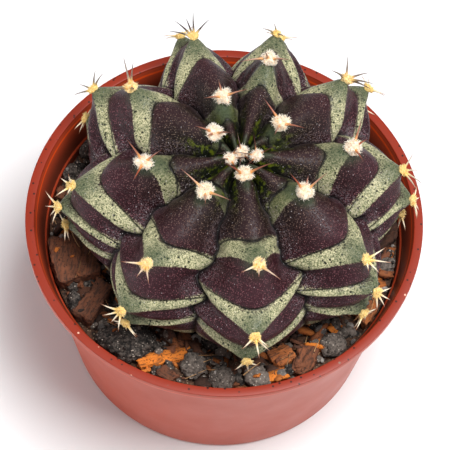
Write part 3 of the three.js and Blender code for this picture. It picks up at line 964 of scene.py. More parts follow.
# Where the photograph shows an areole's own spines, they are set here by rib and order.
SPINES_SEEN = {
    (0, 1): ((-85, 55, 5.8), (85, 32, 5.8)),
    (0, 2): ((-65, 40, 4.4), (45, 30, 5.4), (-5, 45, 3.0), (130, 80, 2.6)),
    (0, 3): ((-80, 55, 3.8), (15, 30, 3.9), (45, 12, 3.8), (72, 50, 3.0)),
    (0, 4): ((-62, 40, 2.8), (-20, 22, 3.2), (8, 40, 3.8), (40, 16, 3.6)),
    (1, 1): ((-175, 52, 4.8), (65, 45, 5.6), (115, 30, 2.8)),
    (1, 2): ((45, 22, 4.8), (0, 38, 3.4), (85, 30, 4.2), (-60, 50, 2.6)),
    (1, 3): ((15, 34, 3.9), (65, 15, 3.8), (38, 30, 4.0), (-30, 40, 3.2)),
    (2, 1): ((75, 40, 5.6), (-80, 35, 5.2), (20, 50, 3.0)),
    (2, 2): ((30, 22, 4.0), (-62, 30, 4.6), (-15, 34, 4.2), (75, 34, 3.8)),
    (3, 1): ((90, 28, 5.8), (-66, 30, 5.6), (-145, 40, 5.0)),
    (3, 2): ((160, 25, 4.6), (60, 45, 4.4), (-15, 30, 4.8), (-75, 34, 5.4), (-60, 12, 5.0)),
    (4, 1): ((118, 5, 5.8), (-118, 40, 5.6), (165, 66, 4.6)),
    (4, 2): ((135, 20, 3.8), (-155, 12, 3.6), (20, 30, 3.4)),
    (5, 1): ((108, 45, 5.6), (-108, 42, 5.4), (10, 60, 3.4)),
    (5, 2): ((-32, 70, 4.8), (-66, 30, 4.8), (38, 46, 4.8), (78, 30, 4.8), (0, 50, 4.2)),
    (6, 1): ((178, 66, 5.4), (40, 36, 4.6), (85, 50, 3.4)),
    (6, 2): ((-50, 52, 5.8), (-62, 22, 5.4), (65, 38, 4.4), (150, 40, 4.0)),
    (6, 3): ((-80, 35, 4.0), (-15, 40, 3.9), (60, 40, 3.6), (-150, 20, 3.8)),
    (7, 1): ((-48, 58, 5.8), (175, 58, 5.4), (60, 18, 5.4)),
    (7, 2): ((-175, 58, 3.8), (-50, 10, 3.6), (30, 40, 3.6), (100, 40, 3.2)),
    (7, 3): ((-85, 35, 4.4), (-38, 38, 4.0), (-5, 30, 3.4), (50, 30, 3.4)),
    (8, 1): ((-92, 24, 6.2), (92, 25, 5.8), (35, 34, 4.4)),
    (8, 2): ((-60, 48, 4.8), (55, 40, 4.6), (20, 60, 4.2)),
    (8, 3): ((-92, 28, 3.9), (-50, 34, 3.9), (22, 34, 3.9), (-15, 30, 3.4)),
}

# How dark the spines of the sunniest areoles have weathered, by rib and order.
CHARRED_SPINES = {
    (0, 1): 0.35, (3, 2): 0.8, (4, 2): 0.7, (5, 2): 1.0, (6, 2): 0.75, (6, 3): 0.85, (2, 2): 0.4,
}


@dataclass
class ChinCactus:
    """The ribbed body of the plant with its areoles, wool and spines.

    Fields that end in polar hold polar angles in degrees.
    """

    centre: Vector = field(default_factory=lambda: Vector((2.5, 1.5, 48.0)))
    crest_reach: tuple[float, ...] = (
        17.5, 21.2, 24.1, 28.8, 34.1, 37.8, 35.4, 30.4, 26.5, 25.0, 24.3, 24.6, 25.0)
    furrow_reach: tuple[float, ...] = (
        17.0, 17.2, 18.9, 21.0, 24.3, 29.2, 31.0, 28.6, 26.0, 25.0, 24.3, 24.6, 25.0)
    ribs: tuple[Rib, ...] = (
        Rib(-82.2, 0.0, 1.0, False, (4, 15.1, 51.8, 72.6, 89, 103), (0, 6, 3, 0, -2, 0),
            (0.8, 0.85, 1.1, 1, 1)),
        Rib(-38.3, 0.5, 0.985, False, (7, 36.2, 64.7, 76.5, 88, 102), (0, 4, 1, -1, -4, 0),
            (0.75, 1.2, 1, 1, 1)),
        Rib(3.6, 3.0, 0.95, True, (10, 47.6, 67.2, 80, 91, 103), (-5, 3, 0, -4, -3, 0),
            (0.8, 1.05, 1, 1, 1)),
        Rib(44.3, 0.0, 0.95, False, (5, 25, 59.9, 73, 87, 102), (0, -4, 1, -2, 0, 0),
            (0.75, 1.15, 1, 1, 1)),
        Rib(79.3, 0.0, 1.0, True, (5, 48.8, 66, 78, 90, 103), (0, -1, 0, 0, 0, 0),
            (0.7, 1.1, 1, 1, 1)),
        Rib(112.1, -3.0, 1.0, False, (5, 30.7, 64, 75, 87, 102), (0, -3, -2, 0, 0, 0),
            (0.75, 1.15, 1, 1, 1)),
        Rib(149.3, 0.0, 1.0, False, (4, 17, 55.2, 72, 86, 101), (0, -4, -2, 0, 3, 0),
            (0.8, 1.15, 1.05, 1, 1)),
        Rib(191.4, 1.0, 0.98, True, (6.5, 42.4, 67.7, 79, 89, 102), (6, 1, -1, 0, 1, 0),
            (0.75, 1.1, 1, 1, 1)),
        Rib(235.5, 0.0, 0.99, False, (5, 29.3, 60, 78.4, 89, 103), (0, 2, 0, -1, -1, 0),
            (0.75, 1.1, 1, 1, 1)),
    )
    crease: float = 0.75
    band_span: float = 5.8
    chin_section: float = 1.56
    areole_section: float = 1.14
    young_section: float = 1.9
    areole_share: float = 0.34
    furrow_pinch: float = 0.84
    ridge_round: float = 0.1
    band_flare: float = 1.4
    band_sharpness: float = 2.5
    band_haze: float = 0.65
    crease_sink: float = 2.6
    chin_sink: float = 0.7
    lip_drop: float = 0.7
    lip_width: float = 0.3
    beak_height: float = 1.5
    beak_length: float = 2.7
    waist: float = 0.16
    waist_phase: float = 0.17
    sweep_inner: float = -8.5
    sweep_outer: float = 8.0
    lip_round: float = 10.0
    sweep_start_polar: tuple[float, float] = (0.0, 26.0)
    sweep_turn_polar: tuple[float, float] = (46.0, 94.0)
    sweep_end_polar: tuple[float, float] = (110.0, 160.0)
    young_polar: tuple[float, float] = (28.0, 56.0)
    spread_polar: tuple[float, float] = (50.0, 78.0)
    crown_polar: tuple[float, float] = (8.0, 20.0)
    buried_polar: tuple[float, float] = (96.0, 105.0)
    grown_polar: float = 49.0
    old_polar: float = 62.0
    columns_per_rib: int = 44
    column_packing: float = 1.4
    rows: tuple[tuple[float, int], ...] = ((0.25, 5), (0.85, 8), (1.0, 7), (1.35, 7), (2.0, 6))
    rows_below: int = 12
    row_rounds: int = 12
    pad_seat: float = 0.12
    pad_size: float = 0.9
    pad_lumps: float = 1.6
    pad_lumpiness: float = 0.4
    wool_tint_spread: float = 0.15
    hair_root: float = 0.82
    hair_tip: float = 0.3
    hair_length: tuple[float, float] = (0.45, 1.0)
    hair_bow: tuple[float, float] = (0.1, 0.5)
    hair_width: float = 0.07
    hair_stray: float = 0.55
    spine_bow: float = 0.16
    spine_flare: float = 0.55
    spine_tip: float = 0.12
    spine_seat: float = 0.35
    spine_offset: float = 0.5
    spine_tint_spread: float = 0.3
    turn_spread: float = 22.0
    lift_spread: float = 14.0
    crown_char: float = 0.9

    # -- the shape of the body

    def reach(self, table: Sequence[float], polar: float) -> float:
        """Read a reach table as a smooth curve.

        Args:
            table: Reach at every 15 degrees from straight up to straight down.
            polar: Angle from straight up in degrees.

        Returns:
            The reach in millimetres.
        """
        last = len(table) - 1
        spot = clamp01(polar / 180.0) * last
        index = min(int(spot), last - 1)
        t = spot - index
        before, here = table[max(index - 1, 0)], table[index]
        after, beyond = table[index + 1], table[min(index + 2, last)]
        rise, next_rise = 0.5 * (after - before), 0.5 * (beyond - here)
        return ((2.0 * here - 2.0 * after + rise + next_rise) * t ** 3
                + (-3.0 * here + 3.0 * after - 2.0 * rise - next_rise) * t ** 2
                + rise * t + here)

    def growth(self, rib: Rib, polar: float) -> Growth:
        """Return the stretch between two areoles that a polar angle lies in.

        Args:
            rib: The rib.
            polar: Angle from straight up in degrees.

        Returns:
            The stretch.
        """
        marks = (0.0, *rib.areoles, 180.0)
        index = 0
        while index < len(marks) - 2 and polar >= marks[index + 1]:
            index += 1
        span = marks[index + 1] - marks[index]
        return Growth(index, clamp01((polar - marks[index]) / span), span)

    def sweep(self, polar: float, offset: float = 1.0) -> float:
        """Return how far a band has climbed at an offset from the crest, or dropped below zero.

        Args:
            polar: Angle from straight up in degrees.
            offset: From 0 on the crest to 1 in the furrow.

        Returns:
            The climb in degrees.
        """
        ease = smooth(*self.sweep_start_polar, polar) * (
            1.0 - smooth(*self.sweep_end_polar, polar))
        climb = blend(self.sweep_inner, self.sweep_outer, smooth(*self.sweep_turn_polar, polar))
        return ease * offset ** 2 * (climb * offset ** 0.4 + self.lip_round * (1.0 - offset))

    def crease_phase(self, span: float) -> float:
        """Return the share of a stretch that its chin takes, for the stretch's span."""
        return max(self.crease, 1.0 - self.band_span / span)

    def lean(self, rib: Rib, polar: float) -> float:
        """Return how far the rib's crest leans off its heading, in degrees.

        Args:
            rib: The rib.
            polar: Angle from straight up in degrees.

        Returns:
            The lean in degrees.
        """
        spot = self.growth(rib, polar)
        values = (rib.lean[0], *rib.lean, 0.0)
        return blend(values[spot.index], values[spot.index + 1], spot.phase)

    def girth(self, rib: Rib, polar: float) -> float:
        """Return the rib's share of width, which narrows at each areole.

        Args:
            rib: The rib.
            polar: Angle from straight up in degrees.

        Returns:
            The share, about 1.
        """
        spot = self.growth(rib, polar)
        values = (rib.girth[0], *rib.girth, 1.0, 1.0)
        here, after = values[spot.index], values[spot.index + 1]
        ripple = self.waist * math.cos(FULL_TURN * (spot.phase - self.waist_phase))
        return blend(here, after, smooth(self.crease_phase(spot.span), 1.0, spot.phase)) - ripple

    def half_width(self, index: int, side: int, polar: float) -> float:
        """Return the angle from the rib's heading to the furrow on one side, in degrees.

        Args:
            index: Number of the rib.
            side: 1 for the furrow anticlockwise of it, else -1.
            polar: Angle from straight up in degrees.

        Returns:
            The angle in degrees.
        """
        count = len(self.ribs)
        low = index if side > 0 else (index - 1) % count
        high = (low + 1) % count
        apart = (self.ribs[high].heading - self.ribs[low].heading) % 360.0
        level = polar + self.sweep(polar)
        low_girth = self.girth(self.ribs[low], level)
        share = low_girth / (low_girth + self.girth(self.ribs[high], level))
        turn = apart * share + self.ribs[low].bias
        return turn if side > 0 else apart - turn

    def relief(self, phase: float, crease: float, soft: float) -> float:
        """Return how far a rib stands below its plain curve.

        Args:
            phase: How far along its stretch the point lies.
            crease: The phase where the chin ends.
            soft: Half the width of the chin's lip, as a share of the stretch.

        Returns:
            The depth in millimetres, below zero.
        """
        along = min(1.05, phase / crease)
        steep = self.crease_sink - self.lip_drop - self.chin_sink
        chin = -self.chin_sink * smooth(0.0, 0.25, along) - steep * along ** 4
        rest = clamp01((phase - crease) / (1.0 - crease))
        slope = -self.crease_sink * (1.0 - rest) ** 1.4
        return blend(chin, slope, smooth(crease - soft, crease + soft, phase))

    def body_point(self, index: int, across: float, polar: float,
                   tones: Optional[dict[str, float]] = None) -> Vector:
        """Return a point of the body.

        Args:
            index: Number of its rib.
            across: From -1 in one furrow over 0 at the crest to 1 in the other.
            polar: Angle from straight up in degrees.
            tones: Filled with what the skin's finish reads at this point.

        Returns:
            The point in millimetres.
        """
        rib = self.ribs[index]
        offset = abs(across)
        spot = self.growth(rib, polar + self.sweep(polar, offset))
        visible = 1.0 - smooth(*self.buried_polar, polar)
        nearest = min(spot.phase, 1.0 - spot.phase)
        at_areole = 1.0 - smooth(0.0, self.areole_share, nearest)
        power = blend(self.chin_section, self.areole_section, at_areole * visible)
        power = blend(self.young_section, power, smooth(*self.young_polar, polar))
        rounded = (math.hypot(offset, self.ridge_round) - self.ridge_round) / (
            math.hypot(1.0, self.ridge_round) - self.ridge_round)
        height = (1.0 - rounded ** power) ** self.furrow_pinch
        crest = self.reach(self.crest_reach, polar)
        crest *= blend(1.0, rib.spread, smooth(*self.spread_polar, polar))
        furrow = self.reach(self.furrow_reach, polar)
        per_degree = math.radians(1.0) * crest
        half = self.half_width(index, -1 if across < 0.0 else 1, polar)
        mark = nearest * spot.span * per_degree
        sideways = offset * half * per_degree
        beak = self.beak_height * math.exp(-(mark ** 2 + sideways ** 2) / self.beak_length ** 2)
        crown = smooth(*self.crown_polar, polar)
        crease = self.crease_phase(spot.span)
        length = spot.span * per_degree
        soft = min(0.1, self.lip_width / length)
        drop = self.relief(spot.phase, crease, soft) * (1.0 - offset ** 3)
        reach = furrow + (crest - furrow) * height + (drop + beak) * visible * crown
        heading = rib.heading + self.lean(rib, polar) * (1.0 - offset) * crown + across * half
        if tones is not None:
            to_crease = abs(spot.phase - crease) * length
            inside = spot.phase >= crease
            to_areole = (1.0 - spot.phase if inside else spot.phase) * length
            haze = self.band_haze if inside else 1.0
            edge = min(haze * to_crease, self.band_sharpness * to_areole)
            band = edge * (1.0 if inside else -1.0) + self.band_flare * offset ** 3
            areole = math.hypot(mark, sideways)
            tones.update(zip(SKIN_TONES, (band, to_crease, areole, offset, polar)))
        radius = reach * math.sin(math.radians(polar))
        turn = math.radians(heading)
        return self.centre + Vector((
            radius * math.cos(turn), radius * math.sin(turn),
            reach * math.cos(math.radians(polar))))

    # -- the rows and columns of its mesh

    def row_marks(self, rib: Rib) -> list[float]:
        """Return the polar angle of each row of the mesh on the rib's crest.

        Args:
            rib: The rib.

        Returns:
            The angles from straight up to straight down, in degrees.
        """
        marks = (0.0, *rib.areoles)
        rows = [0.0]
        for start, end in zip(marks, marks[1:]):
            crease = self.crease_phase(end - start)
            done = 0.0
            for share, count in self.rows:
                after = share * crease if share <= 1.0 else blend(crease, 1.0, share - 1.0)
                rows += [blend(start, end, blend(done, after, (i + 1) / count))
                         for i in range(count)]
                done = after
        last = rows[-1]
        rows += [blend(last, 180.0, (i + 1) / self.rows_below) for i in range(self.rows_below)]
        return rows

    def across_at(self, column: int) -> float:
        """Return how far across its rib a column lies, packed closer at the furrows.

        Args:
            column: Number of the column within the rib.

        Returns:
            From -1 in one furrow to 1 in the other.
        """
        t = 2.0 * column / self.columns_per_rib - 1.0
        packed = 1.0 - (1.0 - abs(t)) ** self.column_packing
        return math.copysign(blend(abs(t), packed, 0.5), t)

    def row_polar(self, marks: Sequence[Sequence[float]], index: int, across: float,
                  row: int) -> float:
        """Return the polar angle of a mesh point, which follows the rib's own chins.

        Args:
            marks: The row marks of every rib.
            index: Number of the rib.
            across: How far across the rib the point lies.
            row: Number of its row.

        Returns:
            The polar angle in degrees.
        """
        own = marks[index][row]
        neighbour = (index + (-1 if across < 0.0 else 1)) % len(self.ribs)
        offset = abs(across)
        shared = 0.5 * (own + marks[neighbour][row])
        polar = settled = blend(own, shared, smooth(0.3, 1.0, offset))
        for _ in range(self.row_rounds):
            polar = settled - self.sweep(polar, offset)
        return polar

    def skin(self) -> BMesh:
        """Return the body as a closed mesh in metres, with the attributes of its finish.

        Returns:
            The body, with normals that point outwards.
        """
        marks = [self.row_marks(rib) for rib in self.ribs]
        last = len(marks[0]) - 1
        columns = self.columns_per_rib * len(self.ribs)
        body = bmesh.new()
        bmesh.ops.create_grid(body, x_segments=columns, y_segments=last, size=1.0)
        layers = [body.verts.layers.float.new(name) for name in SKIN_TONES]
        for vertex in body.verts:
            column = round((vertex.co.x + 1.0) * 0.5 * columns) % columns
            row = last - round((vertex.co.y + 1.0) * 0.5 * last)
            index, step = divmod(column, self.columns_per_rib)
            across = self.across_at(step)
            polar = self.row_polar(marks, index, across, row)
            if row in (0, last):
                index, across, polar = 0, 0.0, 180.0 * row / last
            tones: dict[str, float] = {}
            vertex.co = MM * self.body_point(index, across, polar, tones)
            for layer, name in zip(layers, SKIN_TONES):
                vertex[layer] = tones[name]
        border = [v for v in body.verts if v.is_boundary]
        bmesh.ops.remove_doubles(body, verts=border, dist=MERGE)
        bmesh.ops.recalc_face_normals(body, faces=body.faces)
        return body

    # -- areoles

    def seat(self, index: int, polar: float) -> AreoleSeat:
        """Return the place and directions of an areole on a rib's crest.

        Args:
            index: Number of the rib.
            polar: Angle from straight up in degrees.

        Returns:
            Its seat.
        """
        place, above, below = (self.body_point(index, 0.0, p)
                               for p in (polar, max(0.5, polar - 9.0), polar + 9.0))
        downhill = (below - above).normalized()
        heading = math.radians(self.ribs[index].heading + self.lean(self.ribs[index], polar))
        sideways = Vector((-math.sin(heading), math.cos(heading), 0.0))
        return AreoleSeat(place, downhill.cross(sideways).normalized(), downhill, sideways)

    def areoles(self) -> Iterator[tuple[int, int, Age, AreoleSeat]]:
        """Yield each areole that shows, with its rib, its order from the crown and its age."""
        for index, rib in enumerate(self.ribs):
            for order, polar in enumerate(rib.areoles):
                if polar > self.buried_polar[0] or (order == 0 and not rib.tuft):
                    continue
                if order == 0:
                    age = Age.CROWN
                elif polar < self.grown_polar:
                    age = Age.YOUNG
                else:
                    age = Age.GROWN if polar < self.old_polar else Age.OLD
                yield index, order, age, self.seat(index, polar)

    def pad_lump(self, local: Vector, shift: Vector) -> float:
        """Return how far a felt pad swells at a point of the unit ball, for its own shift."""
        return 1.0 + self.pad_lumpiness * noise.noise(local * self.pad_lumps + shift)

    def wool(self) -> BMesh:
        """Return the felt pads and the hairs of every areole.

        Returns:
            Both in one mesh, in metres.
        """
        dice = random.Random(11)
        pad = bmesh.new()
        bmesh.ops.create_icosphere(pad, subdivisions=3, radius=1.0)
        tones = ("age", "along")
        pads = Bundle(to_mesh(pad, "pad_template"), tones)
        hair_mesh = strand_template(3, 1, self.hair_tip)
        for index, order, age, seat in self.areoles():
            kind = AREOLE_KINDS[age]
            centre = seat.place + seat.outward * (self.pad_seat * kind.pad_height)
            shift = Vector((index * 7.0, order * 3.0, 0.0))

            def on_pad(local: Vector) -> Vector:
                """Return where a point of the unit ball lies on this areole's pad, in metres."""
                flat = seat.downhill * local.x + seat.sideways * local.y
                ball = flat * kind.pad + seat.outward * local.z * kind.pad_height
                return MM * (centre + ball * self.pad_lump(local, shift) * self.pad_size)

            spread = draw(index * 5.0 + order) - 0.5
            tint = clamp01(kind.tint + self.wool_tint_spread * spread)
            pads.add(on_pad, {"age": lambda co, t=tint: t,
                              "along": lambda co: 0.25 + 0.3 * noise.noise(co * 4.0)})
            hairs = Bundle(hair_mesh, tones)
            for _ in range(kind.hairs):
                lift = math.asin(dice.uniform(0.0, 1.0))
                turn = dice.uniform(0.0, FULL_TURN)
                flat = seat.along(turn)
                out = flat * math.cos(lift) + seat.outward * math.sin(lift)
                ball = Vector((math.cos(lift) * math.cos(turn), math.cos(lift) * math.sin(turn),
                               math.sin(lift)))
                root = centre + self.hair_root * self.pad_lump(ball, shift) * (
                    flat * (math.cos(lift) * kind.pad)
                    + seat.outward * (math.sin(lift) * kind.pad_height))
                spin = Vector([dice.uniform(-1.0, 1.0) for _ in range(3)])
                aim = (out + self.hair_stray * spin).normalized()
                bend = aim.cross(spin).normalized()
                length = kind.hair_length * dice.uniform(*self.hair_length)
                hair = Strand(root, aim, bend, length, self.hair_width,
                              dice.uniform(*self.hair_bow))
                hairs.add(hair.place, {"age": lambda co, t=tint: t, "along": lambda co: co.z})
            pads.shape.from_mesh(to_mesh(hairs.shape, "hair_clump"))
        return pads.shape

    def spines(self) -> BMesh:
        """Return the spines of every areole.

        Returns:
            The spines in one mesh, in metres.
        """
        bundle = Bundle(strand_template(6, 6, self.spine_tip), SPINE_TONES)
        for index, order, age, seat in self.areoles():
            kind = AREOLE_KINDS[age]
            seen = SPINES_SEEN.get((index, order))
            vary = 0.0 if seen else 1.0
            char = CHARRED_SPINES.get((index, order), self.crown_char if age is Age.CROWN else 0.0)
            for number, (turn, lift, length) in enumerate(seen or kind.spines):
                seed = index * 97 + order * 13 + number * 3 + 1
                swing = vary * self.turn_spread * (draw(seed) - 0.5)
                flat = seat.along(math.radians(turn + swing))
                raised = vary * self.lift_spread * (draw(seed + 0.37) - 0.5)
                rise = math.radians(lift + raised)
                aim = (flat * math.cos(rise) + seat.outward * math.sin(rise)).normalized()
                bend = (seat.outward - aim * seat.outward.dot(aim)).normalized()
                root = (seat.place + seat.outward * (self.spine_seat * kind.pad_height)
                        + flat * self.spine_offset)
                spine = Strand(root, aim, -bend, length, kind.spine_root, self.spine_bow,
                               self.spine_flare)
                spread = draw(seed + 0.9) - 0.5
                tint = clamp01(kind.spine_tint + self.spine_tint_spread * spread)
                bundle.add(spine.place, {"age": lambda co, t=tint: t, "along": lambda co: co.z,
                                         "char": lambda co, c=char: c})
        return bundle.shape

    def build(self) -> BVHTree:
        """Build the skin, the wool and the spines.

        Returns:
            The skin's surface, for what lies against it.
        """
        body = self.skin()
        surface = BVHTree.FromBMesh(body)
        skin, wool, horn = (look.material() for look in (WaxySkin(), AreoleWool(), SpineHorn()))
        finish_piece("cactus_skin", to_mesh(body, "skin"), skin, "cactus", ["cactus"])
        finish_piece("areole_wool", to_mesh(self.wool(), "wool"), wool, "cactus")
        finish_piece("cactus_spines", to_mesh(self.spines(), "spines"), horn, "cactus")
        return surface


# ---------------------------------------------------------------- potting mix


class Chunk(Enum):
    """The kinds of loose piece in the mix, by the name of their CAD nodes."""

    BARK = "bark_chip"
    LAVA = "lava_lump"
    PEBBLE = "pebble"


# How far each bark chip has weathered, from charred over brown to raw orange.
BARK_TONES = (0.36, 0.3, 0.98, 0.85, 0.5, 0.34, 0.62, 0.46, 0.6, 0.12, 0.45, 0.4, 0.4, 0.5)
SMOOTHING_ROUNDS = {Chunk.BARK: 3, Chunk.LAVA: 6, Chunk.PEBBLE: 4}
# Layers of roughness: each one's height in millimetres and its scale.
BED_GRIT = ((0.5, 0.7), (0.35, 1.9))
STONE_GRIT = {
    Chunk.BARK: ((0.3, 1.1), (0.2, 2.4)),
    Chunk.LAVA: ((0.5, 0.45), (0.28, 1.1), (0.26, 2.3)),
    Chunk.PEBBLE: ((0.08, 1.3),),
}
# The least and most that a crumb is drawn out along each of its axes.
FLAKE_STRETCH = ((0.9, 2.0), (0.5, 0.9), (0.2, 0.45))
LUMP_STRETCH = ((0.75, 1.15),) * 3
CRUMB_SHARES = {Chunk.BARK: 6, Chunk.LAVA: 7, Chunk.PEBBLE: 1}


@dataclass
class PottingMix:
    """The bed of bark and lava, its larger loose pieces, its crumbs and its rootlets."""

    pot: NurseryPot
    plant: ChinCactus
    level: float = 36.6
    swell: float = 0.7
    clearance: float = 0.3
    bed_cell: float = 0.5
    bottom_cove: float = 2.0
    voxel: float = 0.34
    steps: int = 240
    crumb_count: int = 1500
    crumb_ring: tuple[float, float] = (23.0, 37.4)
    crumb_grain: float = 0.62
    crumb_size: tuple[float, float] = (0.7, 2.8)
    crumb_rarity: float = 2.2
    crumb_sink: float = 0.25
    crumb_gap: float = 0.45
    crumb_dents: float = 0.55
    dent_scale: float = 1.7
    climb: float = 1.2
    level_edge: float = 0.8
    ray_level: float = 60.0
    pore_scale: float = 0.95
    pore_edge: tuple[float, float] = (0.42, 0.12)
    pore_depth: float = 0.5
    ridge_height: float = 0.36
    step_height: float = 0.45
    bark_steps: float = 3.0
    rootlet_count: int = 70
    rootlet_ring: tuple[float, float] = (28.0, 36.5)
    rootlet_length: tuple[float, float] = (2.0, 7.0)
    rootlet_width: tuple[float, float] = (0.08, 0.17)
    rootlet_bow: float = 0.35
    rootlet_tilt: tuple[float, float] = (-0.1, 0.25)

    def height(self, x: float, y: float) -> float:
        """Return the height of the bed's surface at a place on the plan.

        Args:
            x: Place to the right in millimetres.
            y: Place to the back in millimetres.

        Returns:
            The height in millimetres.
        """
        ripple = math.sin(x * 0.31 + 1.2) * math.cos(y * 0.27 - 0.5)
        ripple += 0.5 * math.sin(x * 0.63 - y * 0.55)
        return self.level + self.swell * ripple

    def bed(self) -> BMesh:
        """Return the bed as a closed shell, hollowed for the plant.

        Returns:
            The shell in metres.
        """
        bottom = self.pot.floor_level + self.clearance
        cove = bottom + self.bottom_cove
        wall = self.pot.inner_radius(self.level) - self.clearance
        shoulder = self.pot.inner_radius(cove) - self.clearance
        bowl = []
        for polar in range(180, 112, -4):
            reach = self.plant.reach(self.plant.crest_reach, polar) + self.clearance
            angle = math.radians(polar)
            bowl.append((reach * math.sin(angle), self.plant.centre.z + reach * math.cos(angle)))
        brim = bowl[-1][0]
        count = int((wall - brim) / self.bed_cell)
        top = [(blend(brim, wall, (i + 1) / count), self.level) for i in range(count)]
        side = [(shoulder, cove), (shoulder - 1.6, bottom), (0.0, bottom)]
        bowl[0] = (0.0, bowl[0][1])
        shell = revolve(bowl + top + side, self.steps)
        tone = shell.verts.layers.float.new("tone")
        for vertex in shell.verts:
            x, y, z = (c / MM for c in vertex.co)
            radius = math.hypot(x, y)
            inner = 1.0 - smooth(brim, wall - 1.0, radius)
            if z > bottom + 3.0:
                x += self.plant.centre.x * inner
                y += self.plant.centre.y * inner
            if abs(z - self.level) < 0.001:
                spot = Vector((x, y, 0.0))
                inside = 1.0 - smooth(wall - self.level_edge, wall, radius)
                z = self.height(x, y) + roughness(spot, BED_GRIT) * inside
            vertex[tone] = 0.5
            vertex.co = MM * Vector((x, y, z))
        return shell

    # -- larger pieces, each in its CAD node's place

    def chunk(self, node: str, kind: Chunk, number: int) -> Mesh:
        """Carve one loose piece out of its CAD solid.

        Args:
            node: The CAD node that gives its place and outline.
            kind: What it is made of.
            number: Its number among its kind.

        Returns:
            The piece's mesh, with the attributes of its finish.
        """
        rough = bmesh.new()
        rough.from_mesh(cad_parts[node].data)
        bmesh.ops.remove_doubles(rough, verts=rough.verts, dist=MERGE)
        blank = to_scene("chunk_blank", to_mesh(rough, "chunk_blank"))
        remesh = blank.modifiers.new("voxels", "REMESH")
        remesh.mode = "VOXEL"
        remesh.voxel_size = self.voxel * MM
        stone = bmesh.new()
        stone.from_mesh(applied(blank))
        for _ in range(SMOOTHING_ROUNDS[kind]):
            bmesh.ops.smooth_vert(stone, verts=stone.verts, factor=0.5, use_axis_x=True,
                                  use_axis_y=True, use_axis_z=True)
        self.weather(stone, kind, number)
        return to_mesh(stone, node)

    def weather(self, stone: BMesh, kind: Chunk, number: int) -> None:
        """Give a blank its pores or layers, and its attributes.

        Args:
            stone: The piece in metres, changed in place.
            kind: What it is made of.
            number: Its number among its kind.
        """
        tone = stone.verts.layers.float.new("tone")
        grain = stone.verts.layers.float_vector.new("grain")
        middle = sum((v.co for v in stone.verts), Vector()) / len(stone.verts)
        spread_x = sum((v.co.x - middle.x) ** 2 for v in stone.verts)
        spread_y = sum((v.co.y - middle.y) ** 2 for v in stone.verts)
        cross = sum((v.co.x - middle.x) * (v.co.y - middle.y) for v in stone.verts)
        turn = Matrix.Rotation(-0.5 * math.atan2(2.0 * cross, spread_x - spread_y), 3, "Z")
        base = BARK_TONES[number] if kind is Chunk.BARK else 0.3 + 0.6 * draw(number * 1.7 + 0.3)
        stone.normal_update()
        moves = []
        for vertex in stone.verts:
            spot = turn @ (vertex.co - middle) / MM + Vector((number * 17.0, 0.0, 0.0))
            vertex[tone] = clamp01(base + 0.12 * noise.noise(spot * 0.5))
            vertex[grain] = spot
            moves.append((vertex, vertex.normal * (self.stone_relief(kind, spot) * MM)))
        for vertex, move in moves:
            vertex.co += move

    def stone_relief(self, kind: Chunk, spot: Vector) -> float:
        """Return the height of layered bark, porous lava or smooth grit at a point.

        Args:
            kind: What the piece is made of.
            spot: The point in millimetres, with bark's grain along x.

        Returns:
            The height in millimetres.
        """
        grit = roughness(spot, STONE_GRIT[kind])
        if kind is Chunk.LAVA:
            gaps, _ = noise.voronoi(spot * self.pore_scale)
            return grit - self.pore_depth * smooth(*self.pore_edge, gaps[0])
        if kind is Chunk.BARK:
            ridges = noise.noise(Vector((spot.x * 0.35, spot.y * 1.4, spot.z * 2.0)))
            step = noise.noise(Vector((spot.x * 0.22, spot.y * 0.4, 0.0)))
            steps = math.floor(self.bark_steps * step) / self.bark_steps
            return self.ridge_height * ridges + self.step_height * steps + grit
        return grit

    # -- crumbs and rootlets

    def inside_wall(self, point: Vector) -> Vector:
        """Return a point, drawn in to the pot's wall where it lies beyond it.

        Args:
            point: The point in millimetres.

        Returns:
            The point, inside the wall.
        """
        reach = math.hypot(point.x, point.y)
        share = min(1.0, (self.pot.inner_radius(point.z) - self.clearance) / reach)
        return Vector((point.x * share, point.y * share, point.z))

    def grain_template(self, kind: Chunk) -> Mesh:
        """Return a small angular grain: a flake for bark, a crystal lump for the others.

        Args:
            kind: What the grain is made of.

        Returns:
            A mesh of about unit size.
        """
        grain = bmesh.new()
        if kind is Chunk.BARK:
            bmesh.ops.create_cube(grain, size=1.3)
        else:
            bmesh.ops.create_icosphere(grain, subdivisions=1, radius=self.crumb_grain)
        bmesh.ops.subdivide_edges(grain, edges=grain.edges, cuts=1, use_grid_fill=True)
        return to_mesh(grain, "grain_template")

    def ground_under(self, ground: BVHTree, x: float, y: float) -> Optional[Vector]:
        """Return where the ground lies at a place on the plan, in metres, if it does."""
        return ground.ray_cast(Vector((x, y, self.ray_level)) * MM, -UP)[0]

